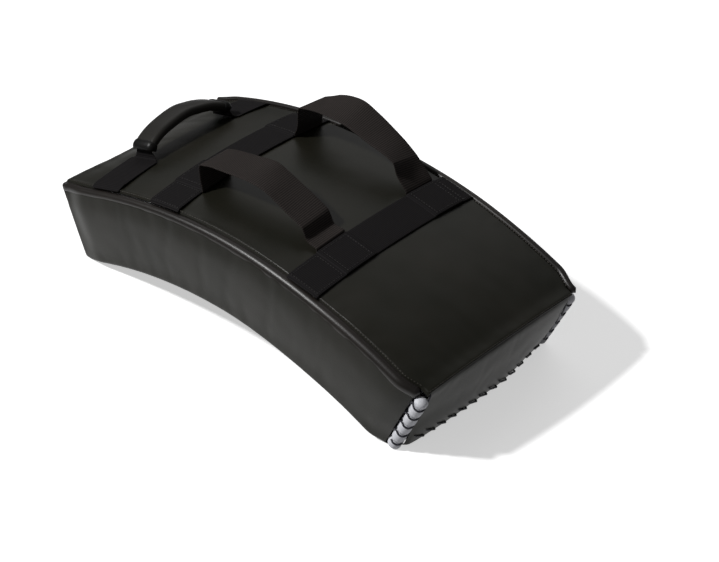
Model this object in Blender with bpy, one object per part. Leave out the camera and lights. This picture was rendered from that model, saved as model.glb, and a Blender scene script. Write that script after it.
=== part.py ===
"""Curved strike shield with two arm straps and a carry handle.

The shield lies on its concave strike face, on the two end edges, with its convex back up.
X runs across it, Y along it from the laced end to the closed end, and Z is up. The origin is
the bottom centre of the bounding box. Lengths are in metres.
"""

import math

import bmesh
import bpy
from mathutils import Vector

# The block. Arc lengths run along the back's side edges from the middle, positive towards
# the closed end; depths run in from the back towards the strike face.
BACK_RADIUS = 0.7435
HALF_ARC = 0.3165
LACED_END_DEPTH = 0.117
CLOSED_END_DEPTH = 0.106
LACED_END_WIDTH = 0.290
CLOSED_END_WIDTH = 0.282
BACK_CROWN = 0.011
LACED_END_CROWN = 0.0085
CLOSED_END_CROWN = 0.0
CROWN_FADE_POWER = 6
SIDE_SWELL = 0.0090  # how far the filling pushes each side out, most in the laced half
SIDE_SWELL_MARGIN, SIDE_SWELL_RISE = 0.018, 0.036
SIDE_SWELL_FADE_START, SIDE_SWELL_FADE = -0.170, 0.210
CLOSED_HALF_SWELL = 0.5  # as a share of the laced half's
FLAP_BELLY = 0.006
STRIKE_EDGE_BULGE = 0.0065
CLOSED_END_BELLY = 0.003
PRESSED_HEIGHT = 0.0045

# Cover, liner and filling.
PANEL = 0.0025
LINER_WALL = 0.0010
GAP = 0.0004
COVER_CLEARANCE = 0.0005
SIDE_TOP_DEPTH = 0.0126
END_TOP_DEPTH = 0.0030
FLAP_LOWER_EDGE = 0.0150
BACK_FOAM_DEPTH = 0.030
STRIKE_FOAM_DEPTH = 0.040
LINER_SIDE_INSET = 0.0050
LINER_MOUTH_INSET = 0.0040
LINER_TOP_CHAMFER = 0.0190
LACED_CORNER_CHAMFER = 0.0300
LACED_EDGE_CHAMFER = 0.0320
CLOSED_EDGE_CHAMFER = 0.0120

# Welts, rolls and lace.
WELT_RADIUS = 0.0045
WELT_INSET = 0.0035
WELT_DEPTH = 0.0076
ROLL_RADIUS = 0.0090
ROLL_INSET = 0.0060
ROLL_TOP_DEPTH = 0.0033
ROLL_FOOT_HEIGHT = 0.0075
ROLL_TAPER = 0.0026
EDGE_ROLL_RADIUS = 0.0050
EDGE_ROLL_INSET = 0.0080
EDGE_ROLL_HEIGHT = 0.0160
LACE_RADIUS = 0.0015
LACE_PITCH = 0.0190
FIRST_LACE_DEPTH = 0.0220
CORNER_LACE_TURNS = 5
EDGE_LACE_TURNS = 13
LACE_REACH = 0.0175
LACE_BEND = 0.0040
LOWEST_LACE_HEIGHT = 0.0110

# Webbing: 50 mm bands and arm straps, 28 mm in the carry handle. The handle's webbing is sewn
# down from each side edge to the handle's roots, and the back between them is bare.
WEBBING_WIDTH = 0.0500
WEBBING = 0.0020
STRAP_WEBBING = 0.0018
HANDLE_BAND_ARC = 0.2360
UPPER_BAND_ARC = 0.1275
LOWER_BAND_ARC = -0.1100
BAND_SIDE_INSET = 0.0010
BAND_STEP = 0.0015
BAND_STATION = 0.0290
BAND_PAST_ROOT = 0.0020

# Arm straps: where each stands across the back, and its outline as (arc, height) points.
# The height is over the back's side edges, so it holds the crown.
LEFT_STRAP_X = -0.0660
RIGHT_STRAP_X = 0.0970
LEFT_STRAP_OUTLINE = [
    (0.1050, 0.0350), (0.1010, 0.0440), (0.0800, 0.0480), (0.0280, 0.0540),
    (-0.0130, 0.0440), (-0.0500, 0.0310),
]
RIGHT_STRAP_OUTLINE = [
    (0.1020, 0.0300), (0.0930, 0.0460), (0.0680, 0.0555), (0.0380, 0.0600),
    (0.0000, 0.0500), (-0.0300, 0.0430), (-0.0560, 0.0330),
]
STRAP_ROOT_HEIGHT = 0.0120
STRAP_LEAN = 20
TAIL_LENGTH = 0.0450
LOWER_TAIL_SHOWS = 0.0080
ROOT_RISE = 0.0040

# Carry handle, between the two handle bands, as (x, height) points of its webbing.
HANDLE_WEBBING_WIDTH = 0.0280
HANDLE_LEFT_X = -0.0620
HANDLE_RIGHT_X = 0.0770
HANDLE_OUTLINE = [
    (-0.0560, 0.0280), (-0.0330, 0.0375), (0.0050, 0.0430),
    (0.0300, 0.0400), (0.0520, 0.0340), (0.0710, 0.0250),
]
HANDLE_ROOT_HEIGHT = 0.0062
HANDLE_LEAN = 15
HANDLE_TAIL_LENGTH = 0.0300
GRIP_WIDTH, GRIP_THICKNESS = 0.0345, 0.0120
GRIP_SLEEVE_WALL = 0.0012
GRIP_CORNER = 0.0055
COLLAR_WALL = 0.0014
COLLAR_LENGTH = 0.0100
GRIP_START, GRIP_END_MARGIN = 0.0030, 0.0030
GRIP_CORE_INSET = 0.0030

# How finely the shapes are divided.
ARC_STEPS = 20
CROSS_STEPS = 10
TUBE_SIDES = 8
LACE_SIDES = 5
GRIP_STEPS = 14
LEG_STEPS = 3
STATION_ROOM = 0.0020
SHARP_ANGLE = 40

END_ANGLE = HALF_ARC / BACK_RADIUS
LACED_STRIKE_RADIUS = BACK_RADIUS - LACED_END_DEPTH
CLOSED_STRIKE_RADIUS = BACK_RADIUS - CLOSED_END_DEPTH
# The two ends are not equally deep, so the block tips until both strike edges are level.
TIP = math.atan2(
    (LACED_STRIKE_RADIUS - CLOSED_STRIKE_RADIUS) * math.cos(END_ANGLE),
    (LACED_STRIKE_RADIUS + CLOSED_STRIKE_RADIUS) * math.sin(END_ANGLE),
)
FLOOR_RADIUS = LACED_STRIKE_RADIUS * math.cos(END_ANGLE + TIP) + PRESSED_HEIGHT


def share(arc):
    """0 at the laced end, 1 at the closed end."""
    return (arc + HALF_ARC) / (2 * HALF_ARC)


def smooth_step(value):
    t = min(1.0, max(0.0, value))
    return t * t * (3 - 2 * t)


def side_swell(arc):
    rise = smooth_step((HALF_ARC - abs(arc) - SIDE_SWELL_MARGIN) / SIDE_SWELL_RISE)
    fade = smooth_step((arc - SIDE_SWELL_FADE_START) / SIDE_SWELL_FADE)
    return SIDE_SWELL * rise * (1 - (1 - CLOSED_HALF_SWELL) * fade)


def half_width(arc):
    straight = (LACED_END_WIDTH + (CLOSED_END_WIDTH - LACED_END_WIDTH) * share(arc)) / 2
    return straight + side_swell(arc)


def full_depth(arc):
    return LACED_END_DEPTH + (CLOSED_END_DEPTH - LACED_END_DEPTH) * share(arc)


def crown(x, arc):
    """How far the back stands proud of its side edges: full in the middle, less at the ends."""
    end_crown = LACED_END_CROWN if arc < 0 else CLOSED_END_CROWN
    fade = abs(arc / HALF_ARC) ** CROWN_FADE_POWER
    return (BACK_CROWN + (end_crown - BACK_CROWN) * fade) * (1 - (x / half_width(arc)) ** 2)


def strike_edge_bulge(x):
    """How far the laced end's strike edge bows out past the end's corners."""
    return STRIKE_EDGE_BULGE * (1 - (2 * x / LACED_END_WIDTH) ** 4)


def bulge(end, x, depth):
    """How far an end face swells outwards. The laced flap's seam with the back is straight."""
    belly = math.sin(math.pi * depth / LACED_END_DEPTH) * (1 - (2 * x / LACED_END_WIDTH) ** 2)
    if end > 0:
        return CLOSED_END_BELLY * belly
    return FLAP_BELLY * belly + strike_edge_bulge(x) * depth / LACED_END_DEPTH


def block_point(x, arc, depth):
    """A point of the block, with the floor at z = 0."""
    angle = arc / BACK_RADIUS - TIP
    radius = BACK_RADIUS - depth
    return Vector((x, radius * math.sin(angle), radius * math.cos(angle) - FLOOR_RADIUS))


def back_normal(arc):
    angle = arc / BACK_RADIUS - TIP
    return Vector((0, math.sin(angle), math.cos(angle)))


def back_point(x, arc, lift):
    """A point over the back panel's crowned outer face."""
    return block_point(x, arc, -crown(x, arc) - lift)


def back_tangent(arc):
    normal = back_normal(arc)
    return Vector((0, normal.z, -normal.y))


def end_point(end, x, depth, inset):
    """A point at an inset from the flat plane of an end: -1 is the laced end, 1 the closed."""
    arc = end * HALF_ARC
    return block_point(x, arc, depth) - back_tangent(arc) * (end * inset)


def arc_at_inset(end, depth, inset):
    """The arc length of a point at a depth and an inset from an end's plane."""
    return end * (HALF_ARC - BACK_RADIUS * math.atan2(inset, BACK_RADIUS - depth))


def lower_depth(arc, lift):
    """The depth a lift above the strike face, or above the floor where that comes first."""
    floor_depth = BACK_RADIUS - (FLOOR_RADIUS + lift) / math.cos(arc / BACK_RADIUS - TIP)
    return min(full_depth(arc) - lift, floor_depth)


def foot_arc(end):
    """Where the strike face meets the floor, found by halving the stretch that it is in."""
    near, far = end * HALF_ARC, 0.0
    for _ in range(30):
        middle = (near + far) / 2
        if block_point(0, middle, full_depth(middle)).z < 0:
            near = middle
        else:
            far = middle
    return near


def stops(start, end, steps):
    return [start + (end - start) * i / steps for i in range(steps + 1)]


def arc_stops(start, end):
    """The common stations along the arc between two ends, with one at each flat foot."""
    common = stops(-HALF_ARC, HALF_ARC, ARC_STEPS) + [foot_arc(-1), foot_arc(1)]
    inner = sorted(s for s in common if start + STATION_ROOM < s < end - STATION_ROOM)
    return [start] + inner + [end]


def finish_material(name, color, roughness):
    material = bpy.data.materials.new(name)
    material.use_nodes = True
    shader = material.node_tree.nodes["Principled BSDF"]
    shader.inputs["Base Color"].default_value = (*color, 1)
    shader.inputs["Roughness"].default_value = roughness
    shader.inputs["Metallic"].default_value = 0
    material.diffuse_color = (*color, 1)
    return material


def add_solid(name, bm, material, origin):
    """One object for the mesh, with its own origin and its faces outwards."""
    bmesh.ops.recalc_face_normals(bm, faces=bm.faces)
    bmesh.ops.translate(bm, verts=bm.verts, vec=-origin)
    mesh = bpy.data.meshes.new(name)
    bm.to_mesh(mesh)
    bm.free()
    mesh.materials.append(material)
    mesh.shade_smooth()
    mesh.set_sharp_from_angle(angle=math.radians(SHARP_ANGLE))
    solid = bpy.data.objects.new(name, mesh)
    solid.location = origin
    bpy.context.collection.objects.link(solid)
    return solid


def bridge(bm, first, second):
    for j in range(len(first)):
        k = (j + 1) % len(first)
        bm.faces.new((first[j], first[k], second[k], second[j]))


def loft(name, rings, material, origin=Vector((0, 0, 0))):
    """A solid through rings of points, closed with a cap at each end."""
    bm = bmesh.new()
    levels = [[bm.verts.new(point) for point in ring] for ring in rings]
    for first, second in zip(levels, levels[1:]):
        bridge(bm, first, second)
    bm.faces.new(levels[0])
    bm.faces.new(levels[-1])
    return add_solid(name, bm, material, origin)


def sleeve(name, outer_rings, inner_rings, material, origin=Vector((0, 0, 0)), bag=False):
    """A wall between two sets of rings: open at both ends, or only at the first for a bag."""
    bm = bmesh.new()
    outer = [[bm.verts.new(point) for point in ring] for ring in outer_rings]
    inner = [[bm.verts.new(point) for point in ring] for ring in inner_rings]
    for levels in (outer, inner):
        for first, second in zip(levels, levels[1:]):
            bridge(bm, first, second)
    bridge(bm, outer[0], inner[0])
    if bag:
        bm.faces.new(outer[-1])
        bm.faces.new(inner[-1])
    else:
        bridge(bm, outer[-1], inner[-1])
    return add_solid(name, bm, material, origin)


def curve_through(points, per_span=4):
    """A smooth line through points, by cubic spans whose slopes follow their neighbours."""
    guides = [2 * points[0] - points[1], *points, 2 * points[-1] - points[-2]]
    line = []
    for i in range(1, len(guides) - 2):
        before, start, end, after = guides[i - 1:i + 3]
        for step in range(per_span):
            t = step / per_span
            line.append(0.5 * (
                2 * start + (end - before) * t
                + (2 * before - 5 * start + 4 * end - after) * t ** 2
                + (3 * start - before - 3 * end + after) * t ** 3
            ))
    return line + [points[-1].copy()]


def tangents(path):
    ends = [path[0]] + path + [path[-1]]
    return [(ends[i + 2] - ends[i]).normalized() for i in range(len(path))]


def tube_rings(path, radii, sides):
    """Round rings square to a path, carried along it without twisting."""
    directions = tangents(path)
    across = directions[0].orthogonal().normalized()
    rings = []
    for point, direction, radius in zip(path, directions, radii):
        across = (across - across.dot(direction) * direction).normalized()
        beside = direction.cross(across)
        rings.append([
            point + radius * (math.cos(turn) * across + math.sin(turn) * beside)
            for turn in (2 * math.pi * k / sides for k in range(sides))
        ])
    return rings


def section_rings(path, across, section):
    """Copies of a flat (width, thickness) section square to a path, its width along across."""
    rings = []
    for point, direction in zip(path, tangents(path)):
        up = direction.cross(across).normalized()
        rings.append([point + across * w + up * t for w, t in section])
    return rings


def flat_section(width, thickness):
    w, t = width / 2, thickness / 2
    return [(-w, -t), (w, -t), (w, t), (-w, t)]


def padded_section(width, thickness, corner, per_corner=3):
    """A rectangle with round corners."""
    w, t = width / 2 - corner, thickness / 2 - corner
    section = []
    for quarter, (x, y) in enumerate([(w, t), (-w, t), (-w, -t), (w, -t)]):
        for step in range(per_corner + 1):
            turn = math.pi / 2 * (quarter + step / per_corner)
            section.append((x + corner * math.cos(turn), y + corner * math.sin(turn)))
    return section


def stretch_of(path, start, end, steps):
    """Points at even lengths along part of a path."""
    lengths = [0.0]
    for a, b in zip(path, path[1:]):
        lengths.append(lengths[-1] + (b - a).length)
    found = []
    for target in stops(start, lengths[-1] - end, steps):
        i = max(k for k in range(len(path) - 1) if lengths[k] <= target)
        found.append(path[i].lerp(path[i + 1], (target - lengths[i]) / (lengths[i + 1] - lengths[i])))
    return found


def path_length(path):
    return sum((b - a).length for a, b in zip(path, path[1:]))


def back_panel(vinyl):
    def row(arc, lift):
        side = half_width(arc) - COVER_CLEARANCE
        return [back_point(x, arc, lift) for x in stops(-side, side, CROSS_STEPS)]
    rings = [
        row(arc, 0) + row(arc, -PANEL)[::-1] for arc in arc_stops(-HALF_ARC, HALF_ARC)
    ]
    loft("back_panel", rings, vinyl)


def strike_panel(vinyl):
    arcs = arc_stops(-HALF_ARC, HALF_ARC)

    def line(side, lift):
        points = [block_point(side * half_width(s), s, lower_depth(s, lift)) for s in arcs]
        points[0].y -= strike_edge_bulge(points[0].x)
        return points
    rings = [line(side, 0) + line(side, PANEL)[::-1] for side in stops(-1, 1, CROSS_STEPS)]
    loft("strike_panel", rings, vinyl)


def side_panels(vinyl):
    def ring(side, upper_arc, lower_arc):
        low = lower_depth(lower_arc, PANEL + 2 * GAP)
        outer, inner = half_width(upper_arc), half_width(upper_arc) - PANEL
        return [
            block_point(side * outer, upper_arc, SIDE_TOP_DEPTH),
            block_point(side * outer, lower_arc, low),
            block_point(side * inner, lower_arc, low),
            block_point(side * inner, upper_arc, SIDE_TOP_DEPTH),
        ]
    laced_edge = ROLL_INSET + ROLL_RADIUS + GAP
    first = (
        arc_at_inset(-1, SIDE_TOP_DEPTH, laced_edge), arc_at_inset(-1, LACED_END_DEPTH, laced_edge)
    )
    arcs = arc_stops(max(first), HALF_ARC - PANEL - GAP)[1:]
    for name, side in (("left_side_panel", -1), ("right_side_panel", 1)):
        rings = [ring(side, *first)] + [ring(side, arc, arc) for arc in arcs]
        loft(name, rings, vinyl)


def end_panel(name, end, side_inset, lowest, vinyl):
    """A wall across one end of the block: end is -1 for the laced end, 1 for the closed one."""
    side = half_width(end * HALF_ARC) - side_inset
    depths = stops(END_TOP_DEPTH, lowest, 5)
    rings = []
    for x in stops(-side, side, CROSS_STEPS):
        outer = [end_point(end, x, d, -bulge(end, x, d)) for d in depths]
        inner = [end_point(end, x, d, PANEL - bulge(end, x, d)) for d in depths]
        rings.append(outer + inner[::-1])
    loft(name, rings, vinyl)


def back_welts(vinyl):
    arcs = arc_stops(ROLL_INSET + ROLL_RADIUS + GAP - HALF_ARC, HALF_ARC - PANEL - GAP)
    for name, side in (("left_back_welt", -1), ("right_back_welt", 1)):
        path = [block_point(side * (half_width(s) - WELT_INSET), s, WELT_DEPTH) for s in arcs]
        loft(name, tube_rings(path, [WELT_RADIUS] * len(path), TUBE_SIDES), vinyl)


def corner_rolls(fabric):
    """The white rolls that show between the lace turns at the laced end's upright corners."""
    radii = [0.75 * ROLL_RADIUS, ROLL_RADIUS, ROLL_RADIUS, 0.5 * ROLL_RADIUS]
    foot = LACED_END_DEPTH - ROLL_FOOT_HEIGHT
    depths = [ROLL_TOP_DEPTH, ROLL_TOP_DEPTH + ROLL_TAPER, foot - ROLL_TAPER, foot]
    for name, side in (("left_corner_roll", -1), ("right_corner_roll", 1)):
        x = side * (LACED_END_WIDTH / 2 - ROLL_INSET)
        path = [end_point(-1, x, depth, ROLL_INSET) for depth in depths]
        loft(name, tube_rings(path, radii, 2 * TUBE_SIDES), fabric)


def strike_edge_roll(fabric):
    side = LACED_END_WIDTH / 2 - ROLL_INSET - ROLL_RADIUS - 2 * GAP
    depth = LACED_END_DEPTH - EDGE_ROLL_HEIGHT
    path = [
        end_point(-1, x, depth, EDGE_ROLL_INSET - bulge(-1, x, depth))
        for x in stops(-side, side, CROSS_STEPS)
    ]
    rings = tube_rings(path, [EDGE_ROLL_RADIUS] * len(path), TUBE_SIDES)
    loft("strike_edge_roll", rings, fabric)


def corner_laces(cord):
    """Each lace crosses its corner roll once a turn, from the side panel to the flap and back."""
    lie = LACE_RADIUS + GAP
    over = ROLL_RADIUS + lie
    for name, side in (("left_corner_lace", -1), ("right_corner_lace", 1)):
        path = []
        for turn in range(CORNER_LACE_TURNS):
            depth = FIRST_LACE_DEPTH + turn * LACE_PITCH
            edge = LACED_END_WIDTH / 2
            crossing = [
                (edge + lie, LACE_REACH), (edge + over - ROLL_INSET, ROLL_INSET + LACE_BEND)
            ]
            for angle in (15, 45, 75):
                crossing.append((
                    edge - ROLL_INSET + over * math.cos(math.radians(angle)),
                    ROLL_INSET - over * math.sin(math.radians(angle)),
                ))
            crossing.append((edge - ROLL_INSET - LACE_BEND, ROLL_INSET - over))
            inward = edge - LACE_REACH
            crossing.append((inward, -lie - bulge(-1, inward, depth)))
            if turn % 2:
                crossing.reverse()
            path += [end_point(-1, side * x, depth, inset) for x, inset in crossing]
        loft(name, tube_rings(path, [LACE_RADIUS] * len(path), LACE_SIDES), cord)


def strike_edge_lace(cord):
    """The lace that joins the flap's lower edge to the strike panel's end."""
    lie = LACE_RADIUS + GAP
    first = -(EDGE_LACE_TURNS - 1) / 2 * LACE_PITCH
    path = []
    for turn in range(EDGE_LACE_TURNS):
        x = first + turn * LACE_PITCH
        crossing = []
        for height in (LACE_REACH, FLAP_LOWER_EDGE, LOWEST_LACE_HEIGHT):
            depth = LACED_END_DEPTH - height
            crossing.append(end_point(-1, x, depth, -lie - bulge(-1, x, depth)))
        path += crossing[::-1] if turn % 2 else crossing
    loft("strike_edge_lace", tube_rings(path, [LACE_RADIUS] * len(path), LACE_SIDES), cord)


def filling_outline(arc, inset, top, bottom):
    """The (x, depth) outline of a layer of the filling. Its upper corners clear the welts, and
    its laced end clears the corner rolls."""
    from_laced_end = HALF_ARC + arc
    side = half_width(arc) - max(
        LINER_SIDE_INSET + inset, LACED_CORNER_CHAMFER + 1.5 * inset - from_laced_end
    )
    if top is not None:
        return [(-side, top), (side, top), (side, bottom), (-side, bottom)]
    clearance = PANEL + COVER_CLEARANCE + inset
    cut = LINER_TOP_CHAMFER - LINER_SIDE_INSET - clearance
    across = stops(cut - side, side - cut, CROSS_STEPS - 2)
    upper = [(x, clearance - crown(x, arc)) for x in across]
    low = clearance + cut
    return upper + [(side, low), (side, bottom), (-side, bottom), (-side, low)]


def filling_floor(arc, inset):
    """The lowest depth of the filling, which rises over the strike edge of each end."""
    edge_chamfer = LACED_EDGE_CHAMFER if arc < 0 else CLOSED_EDGE_CHAMFER
    from_end = HALF_ARC - abs(arc)
    rise = max(PANEL + COVER_CLEARANCE, edge_chamfer - from_end)
    return min(full_depth(arc) - rise, lower_depth(arc, PANEL + COVER_CLEARANCE)) - 1.5 * inset


def ring_at(arc, outline):
    return [block_point(x, arc, depth) for x, depth in outline]


def liner_bag(fabric):
    """The inner bag round the foam, open at the laced end, where the filling goes in."""
    start = LINER_MOUTH_INSET - HALF_ARC
    end = HALF_ARC - PANEL - 2 * GAP

    def rings(inset, last):
        arcs = arc_stops(start, last)
        arcs.insert(1, LACED_CORNER_CHAMFER - HALF_ARC)
        arcs.sort()
        return [
            ring_at(arc, filling_outline(arc, inset, None, filling_floor(arc, inset)))
            for arc in arcs
        ]
    sleeve("liner_bag", rings(0, end), rings(LINER_WALL, end - LINER_WALL), fabric, bag=True)


def foam_layers(firm_foam, core_foam, soft_foam):
    inset = LINER_WALL + GAP
    start = LINER_MOUTH_INSET + GAP - HALF_ARC
    end = HALF_ARC - PANEL - 3 * GAP - LINER_WALL
    arcs = sorted(arc_stops(start, end) + [LACED_CORNER_CHAMFER - HALF_ARC])

    def core_bottom(arc):
        return full_depth(arc) - STRIKE_FOAM_DEPTH - PANEL

    loft("back_foam", [
        ring_at(arc, filling_outline(arc, inset, None, BACK_FOAM_DEPTH)) for arc in arcs
    ], firm_foam)
    loft("core_foam", [
        ring_at(arc, filling_outline(arc, inset, BACK_FOAM_DEPTH + GAP, core_bottom(arc)))
        for arc in arcs
    ], core_foam)
    loft("strike_foam", [
        ring_at(arc, filling_outline(arc, inset, core_bottom(arc) + GAP, filling_floor(arc, inset)))
        for arc in arcs
    ], soft_foam)


def band_over_back(name, arc, start, end, raised_at, webbing):
    """A band of webbing sewn on the back between two places across it, raised where a strap's
    tail lies under it."""
    half_band = WEBBING_WIDTH / 2
    steps = math.ceil((end - start) / BAND_STATION)
    stations = [(x, 0.0) for x in stops(start, end, steps)]
    lift = STRAP_WEBBING + GAP
    for middle in raised_at:
        edge = WEBBING_WIDTH / 2 + GAP
        stations = [(x, up) for x, up in stations if abs(x - middle) > edge + 2 * BAND_STEP]
        for offset, up in ((-edge - BAND_STEP, 0), (-edge, lift), (0, lift), (edge, lift),
                           (edge + BAND_STEP, 0)):
            stations.append((middle + offset, up))
    arcs = stops(arc - half_band, arc + half_band, 2)
    rings = []
    for x, up in sorted(stations):
        lower = [back_point(x, s, GAP + up) for s in arcs]
        upper = [back_point(x, s, GAP + up + WEBBING) for s in arcs]
        rings.append(lower + upper[::-1])
    loft(name, rings, webbing)


class Hinge:
    """The line through two roots' peaks, about which a sewn loop of webbing leans."""

    def __init__(self, first, second, rise):
        self.axis = (second - first).normalized()
        sideways = Vector((1, 0, 0)) if abs(self.axis.x) < 0.5 else back_tangent(HANDLE_BAND_ARC)
        self.up = sideways.cross(self.axis).normalized()
        if self.up.z < 0:
            self.up.negate()
        self.sideways = sideways
        self.first = first + self.up * rise
        self.second = second + self.up * rise
        self.middle = (self.first + self.second) / 2


def root(name, hinge, peak, tail_point, lean, width, thickness, webbing):
    """The sewn end of a loop: a flat tail, then an upright root whose top slopes down both ways
    from the hinge line, so that the loop can lean on it. tail_point(offset, out, lift) is a
    point of the tail's surface."""
    fall = math.tan(math.radians(lean))
    rings = []
    for offset in (-width / 2, 0, width / 2):
        top = peak + hinge.sideways * offset - hinge.up * (abs(offset) * fall + GAP / 2)
        inner_top = top + tail_point.out * thickness / 2
        outer_top = top - tail_point.out * thickness / 2
        along = stops(thickness / 2, tail_point.length, 3)
        upper = [tail_point(offset, out, thickness) for out in along]
        lower = [tail_point(offset, out, 0) for out in along[:0:-1]]
        heel = tail_point(offset, -thickness / 2, 0)
        rings.append([heel, outer_top, inner_top, *upper, *lower])
    loft(name, rings, webbing)


class StrapTail:
    """The surface on which a strap's tail lies, under its band. Out runs under the band."""

    def __init__(self, x, arc, direction, length):
        self.x, self.arc, self.direction, self.length = x, arc, direction, length
        self.out = back_tangent(arc) * direction

    def __call__(self, offset, out, lift):
        return back_point(self.x + offset, self.arc + self.direction * out, GAP + lift)


class HandleTail:
    """The surface on which a handle's tail lies, on top of its band. Out runs from the grip."""

    def __init__(self, x, direction):
        self.x, self.direction = x, direction
        self.length = HANDLE_TAIL_LENGTH
        self.out = Vector((direction, 0, 0))

    def __call__(self, offset, out, lift):
        x = self.x + self.direction * out
        return back_point(x, HANDLE_BAND_ARC + offset, 2 * GAP + WEBBING + lift)


def arm_strap(side, x, outline, webbing):
    """A loop of webbing between the lower and the upper strap band, and its two sewn ends."""
    stand_off = STRAP_WEBBING / 2 + GAP
    lower = LOWER_BAND_ARC + WEBBING_WIDTH / 2 + stand_off + LOWER_TAIL_SHOWS
    upper = UPPER_BAND_ARC - WEBBING_WIDTH / 2 - stand_off
    hinge = Hinge(back_point(x, lower, 0), back_point(x, upper, 0), STRAP_ROOT_HEIGHT)
    lower_tail = StrapTail(x, lower, -1, TAIL_LENGTH + LOWER_TAIL_SHOWS)
    upper_tail = StrapTail(x, upper, 1, TAIL_LENGTH)
    for end, peak, tail in (("lower", hinge.first, lower_tail), ("upper", hinge.second, upper_tail)):
        root(f"{side}_strap_{end}_tail", hinge, peak, tail, STRAP_LEAN, WEBBING_WIDTH,
             STRAP_WEBBING, webbing)
    start = hinge.up * (GAP / 2)
    rise = hinge.up * ROOT_RISE
    shape = [block_point(x, arc, -height) for arc, height in outline]
    path = [hinge.second + start]
    path += curve_through([hinge.second + rise, *shape, hinge.first + rise], 3)
    path.append(hinge.first + start)
    section = flat_section(WEBBING_WIDTH, STRAP_WEBBING)
    loft(f"{side}_arm_strap", section_rings(path, Vector((1, 0, 0)), section), webbing,
         hinge.middle)


def carry_handle(webbing, vinyl, foam):
    """The webbing of the carry handle, its padded grip with a collar at each end, and its sewn
    ends."""
    lift = 2 * GAP + WEBBING
    left = back_point(HANDLE_LEFT_X, HANDLE_BAND_ARC, lift)
    right = back_point(HANDLE_RIGHT_X, HANDLE_BAND_ARC, lift)
    hinge = Hinge(left, right, HANDLE_ROOT_HEIGHT)
    for side, peak, x, direction in (
        ("left", hinge.first, HANDLE_LEFT_X, -1), ("right", hinge.second, HANDLE_RIGHT_X, 1)
    ):
        root(f"handle_{side}_tail", hinge, peak, HandleTail(x, direction), HANDLE_LEAN,
             HANDLE_WEBBING_WIDTH, STRAP_WEBBING, webbing)
    across = hinge.sideways
    start = hinge.up * (GAP / 2)
    rise = hinge.up * ROOT_RISE
    shape = [block_point(x, HANDLE_BAND_ARC, -height) for x, height in HANDLE_OUTLINE]
    path = [hinge.first + start]
    path += curve_through([hinge.first + rise, *shape, hinge.second + rise], 4)
    path.append(hinge.second + start)
    length = path_length(path)
    grip_line = stretch_of(path, GRIP_START, GRIP_END_MARGIN, GRIP_STEPS)
    left_leg = stretch_of(path, 0, length - GRIP_START, LEG_STEPS)
    right_leg = stretch_of(path, length - GRIP_END_MARGIN, 0, LEG_STEPS)
    webbing_line = left_leg[:-1] + grip_line + right_leg[1:]
    flat = flat_section(HANDLE_WEBBING_WIDTH, STRAP_WEBBING)
    loft("handle_webbing", section_rings(webbing_line, across, flat), webbing, hinge.middle)

    def wrap(name, line, outer, inner, material):
        sleeve(name, section_rings(line, across, padded_section(*outer)),
               section_rings(line, across, padded_section(*inner)), material, hinge.middle)

    slot = (HANDLE_WEBBING_WIDTH + 2 * GAP, STRAP_WEBBING + 2 * GAP, GAP)
    inner_width = GRIP_WIDTH - 2 * GRIP_SLEEVE_WALL
    inner_thickness = GRIP_THICKNESS - 2 * GRIP_SLEEVE_WALL
    inner_corner = GRIP_CORNER - GRIP_SLEEVE_WALL
    grip = (GRIP_WIDTH, GRIP_THICKNESS, GRIP_CORNER)
    bore = (inner_width, inner_thickness, inner_corner)
    core = (inner_width - 2 * GAP, inner_thickness - 2 * GAP, inner_corner - GAP)
    collar_bore = (GRIP_WIDTH + 2 * GAP, GRIP_THICKNESS + 2 * GAP, GRIP_CORNER + GAP)
    grow = 2 * GAP + 2 * COLLAR_WALL
    collar = (GRIP_WIDTH + grow, GRIP_THICKNESS + grow, GRIP_CORNER + GAP + COLLAR_WALL)
    spacing = (grip_line[1] - grip_line[0]).length

    def from_left(distance):
        return grip_line[0].lerp(grip_line[1], distance / spacing)

    def from_right(distance):
        return grip_line[-1].lerp(grip_line[-2], distance / spacing)
    core_line = [from_left(GRIP_CORE_INSET), *grip_line[1:-1], from_right(GRIP_CORE_INSET)]
    wrap("handle_grip_sleeve", grip_line, grip, bore, vinyl)
    wrap("handle_grip_core", core_line, core, slot, foam)
    wrap("handle_left_collar", [grip_line[0], from_left(COLLAR_LENGTH)], collar, collar_bore, vinyl)
    wrap("handle_right_collar", [from_right(COLLAR_LENGTH), grip_line[-1]], collar, collar_bore,
         vinyl)


def stand_on_origin():
    """Hangs everything on one empty, moved so that the origin is the bottom centre."""
    solids = list(bpy.context.collection.objects)
    bpy.context.view_layer.update()
    corners = [solid.matrix_world @ Vector(c) for solid in solids for c in solid.bound_box]
    middle = (min(c.y for c in corners) + max(c.y for c in corners)) / 2
    holder = bpy.data.objects.new("shield_frame", None)
    bpy.context.collection.objects.link(holder)
    for solid in solids:
        solid.parent = holder
    holder.location.y = -middle


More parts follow.
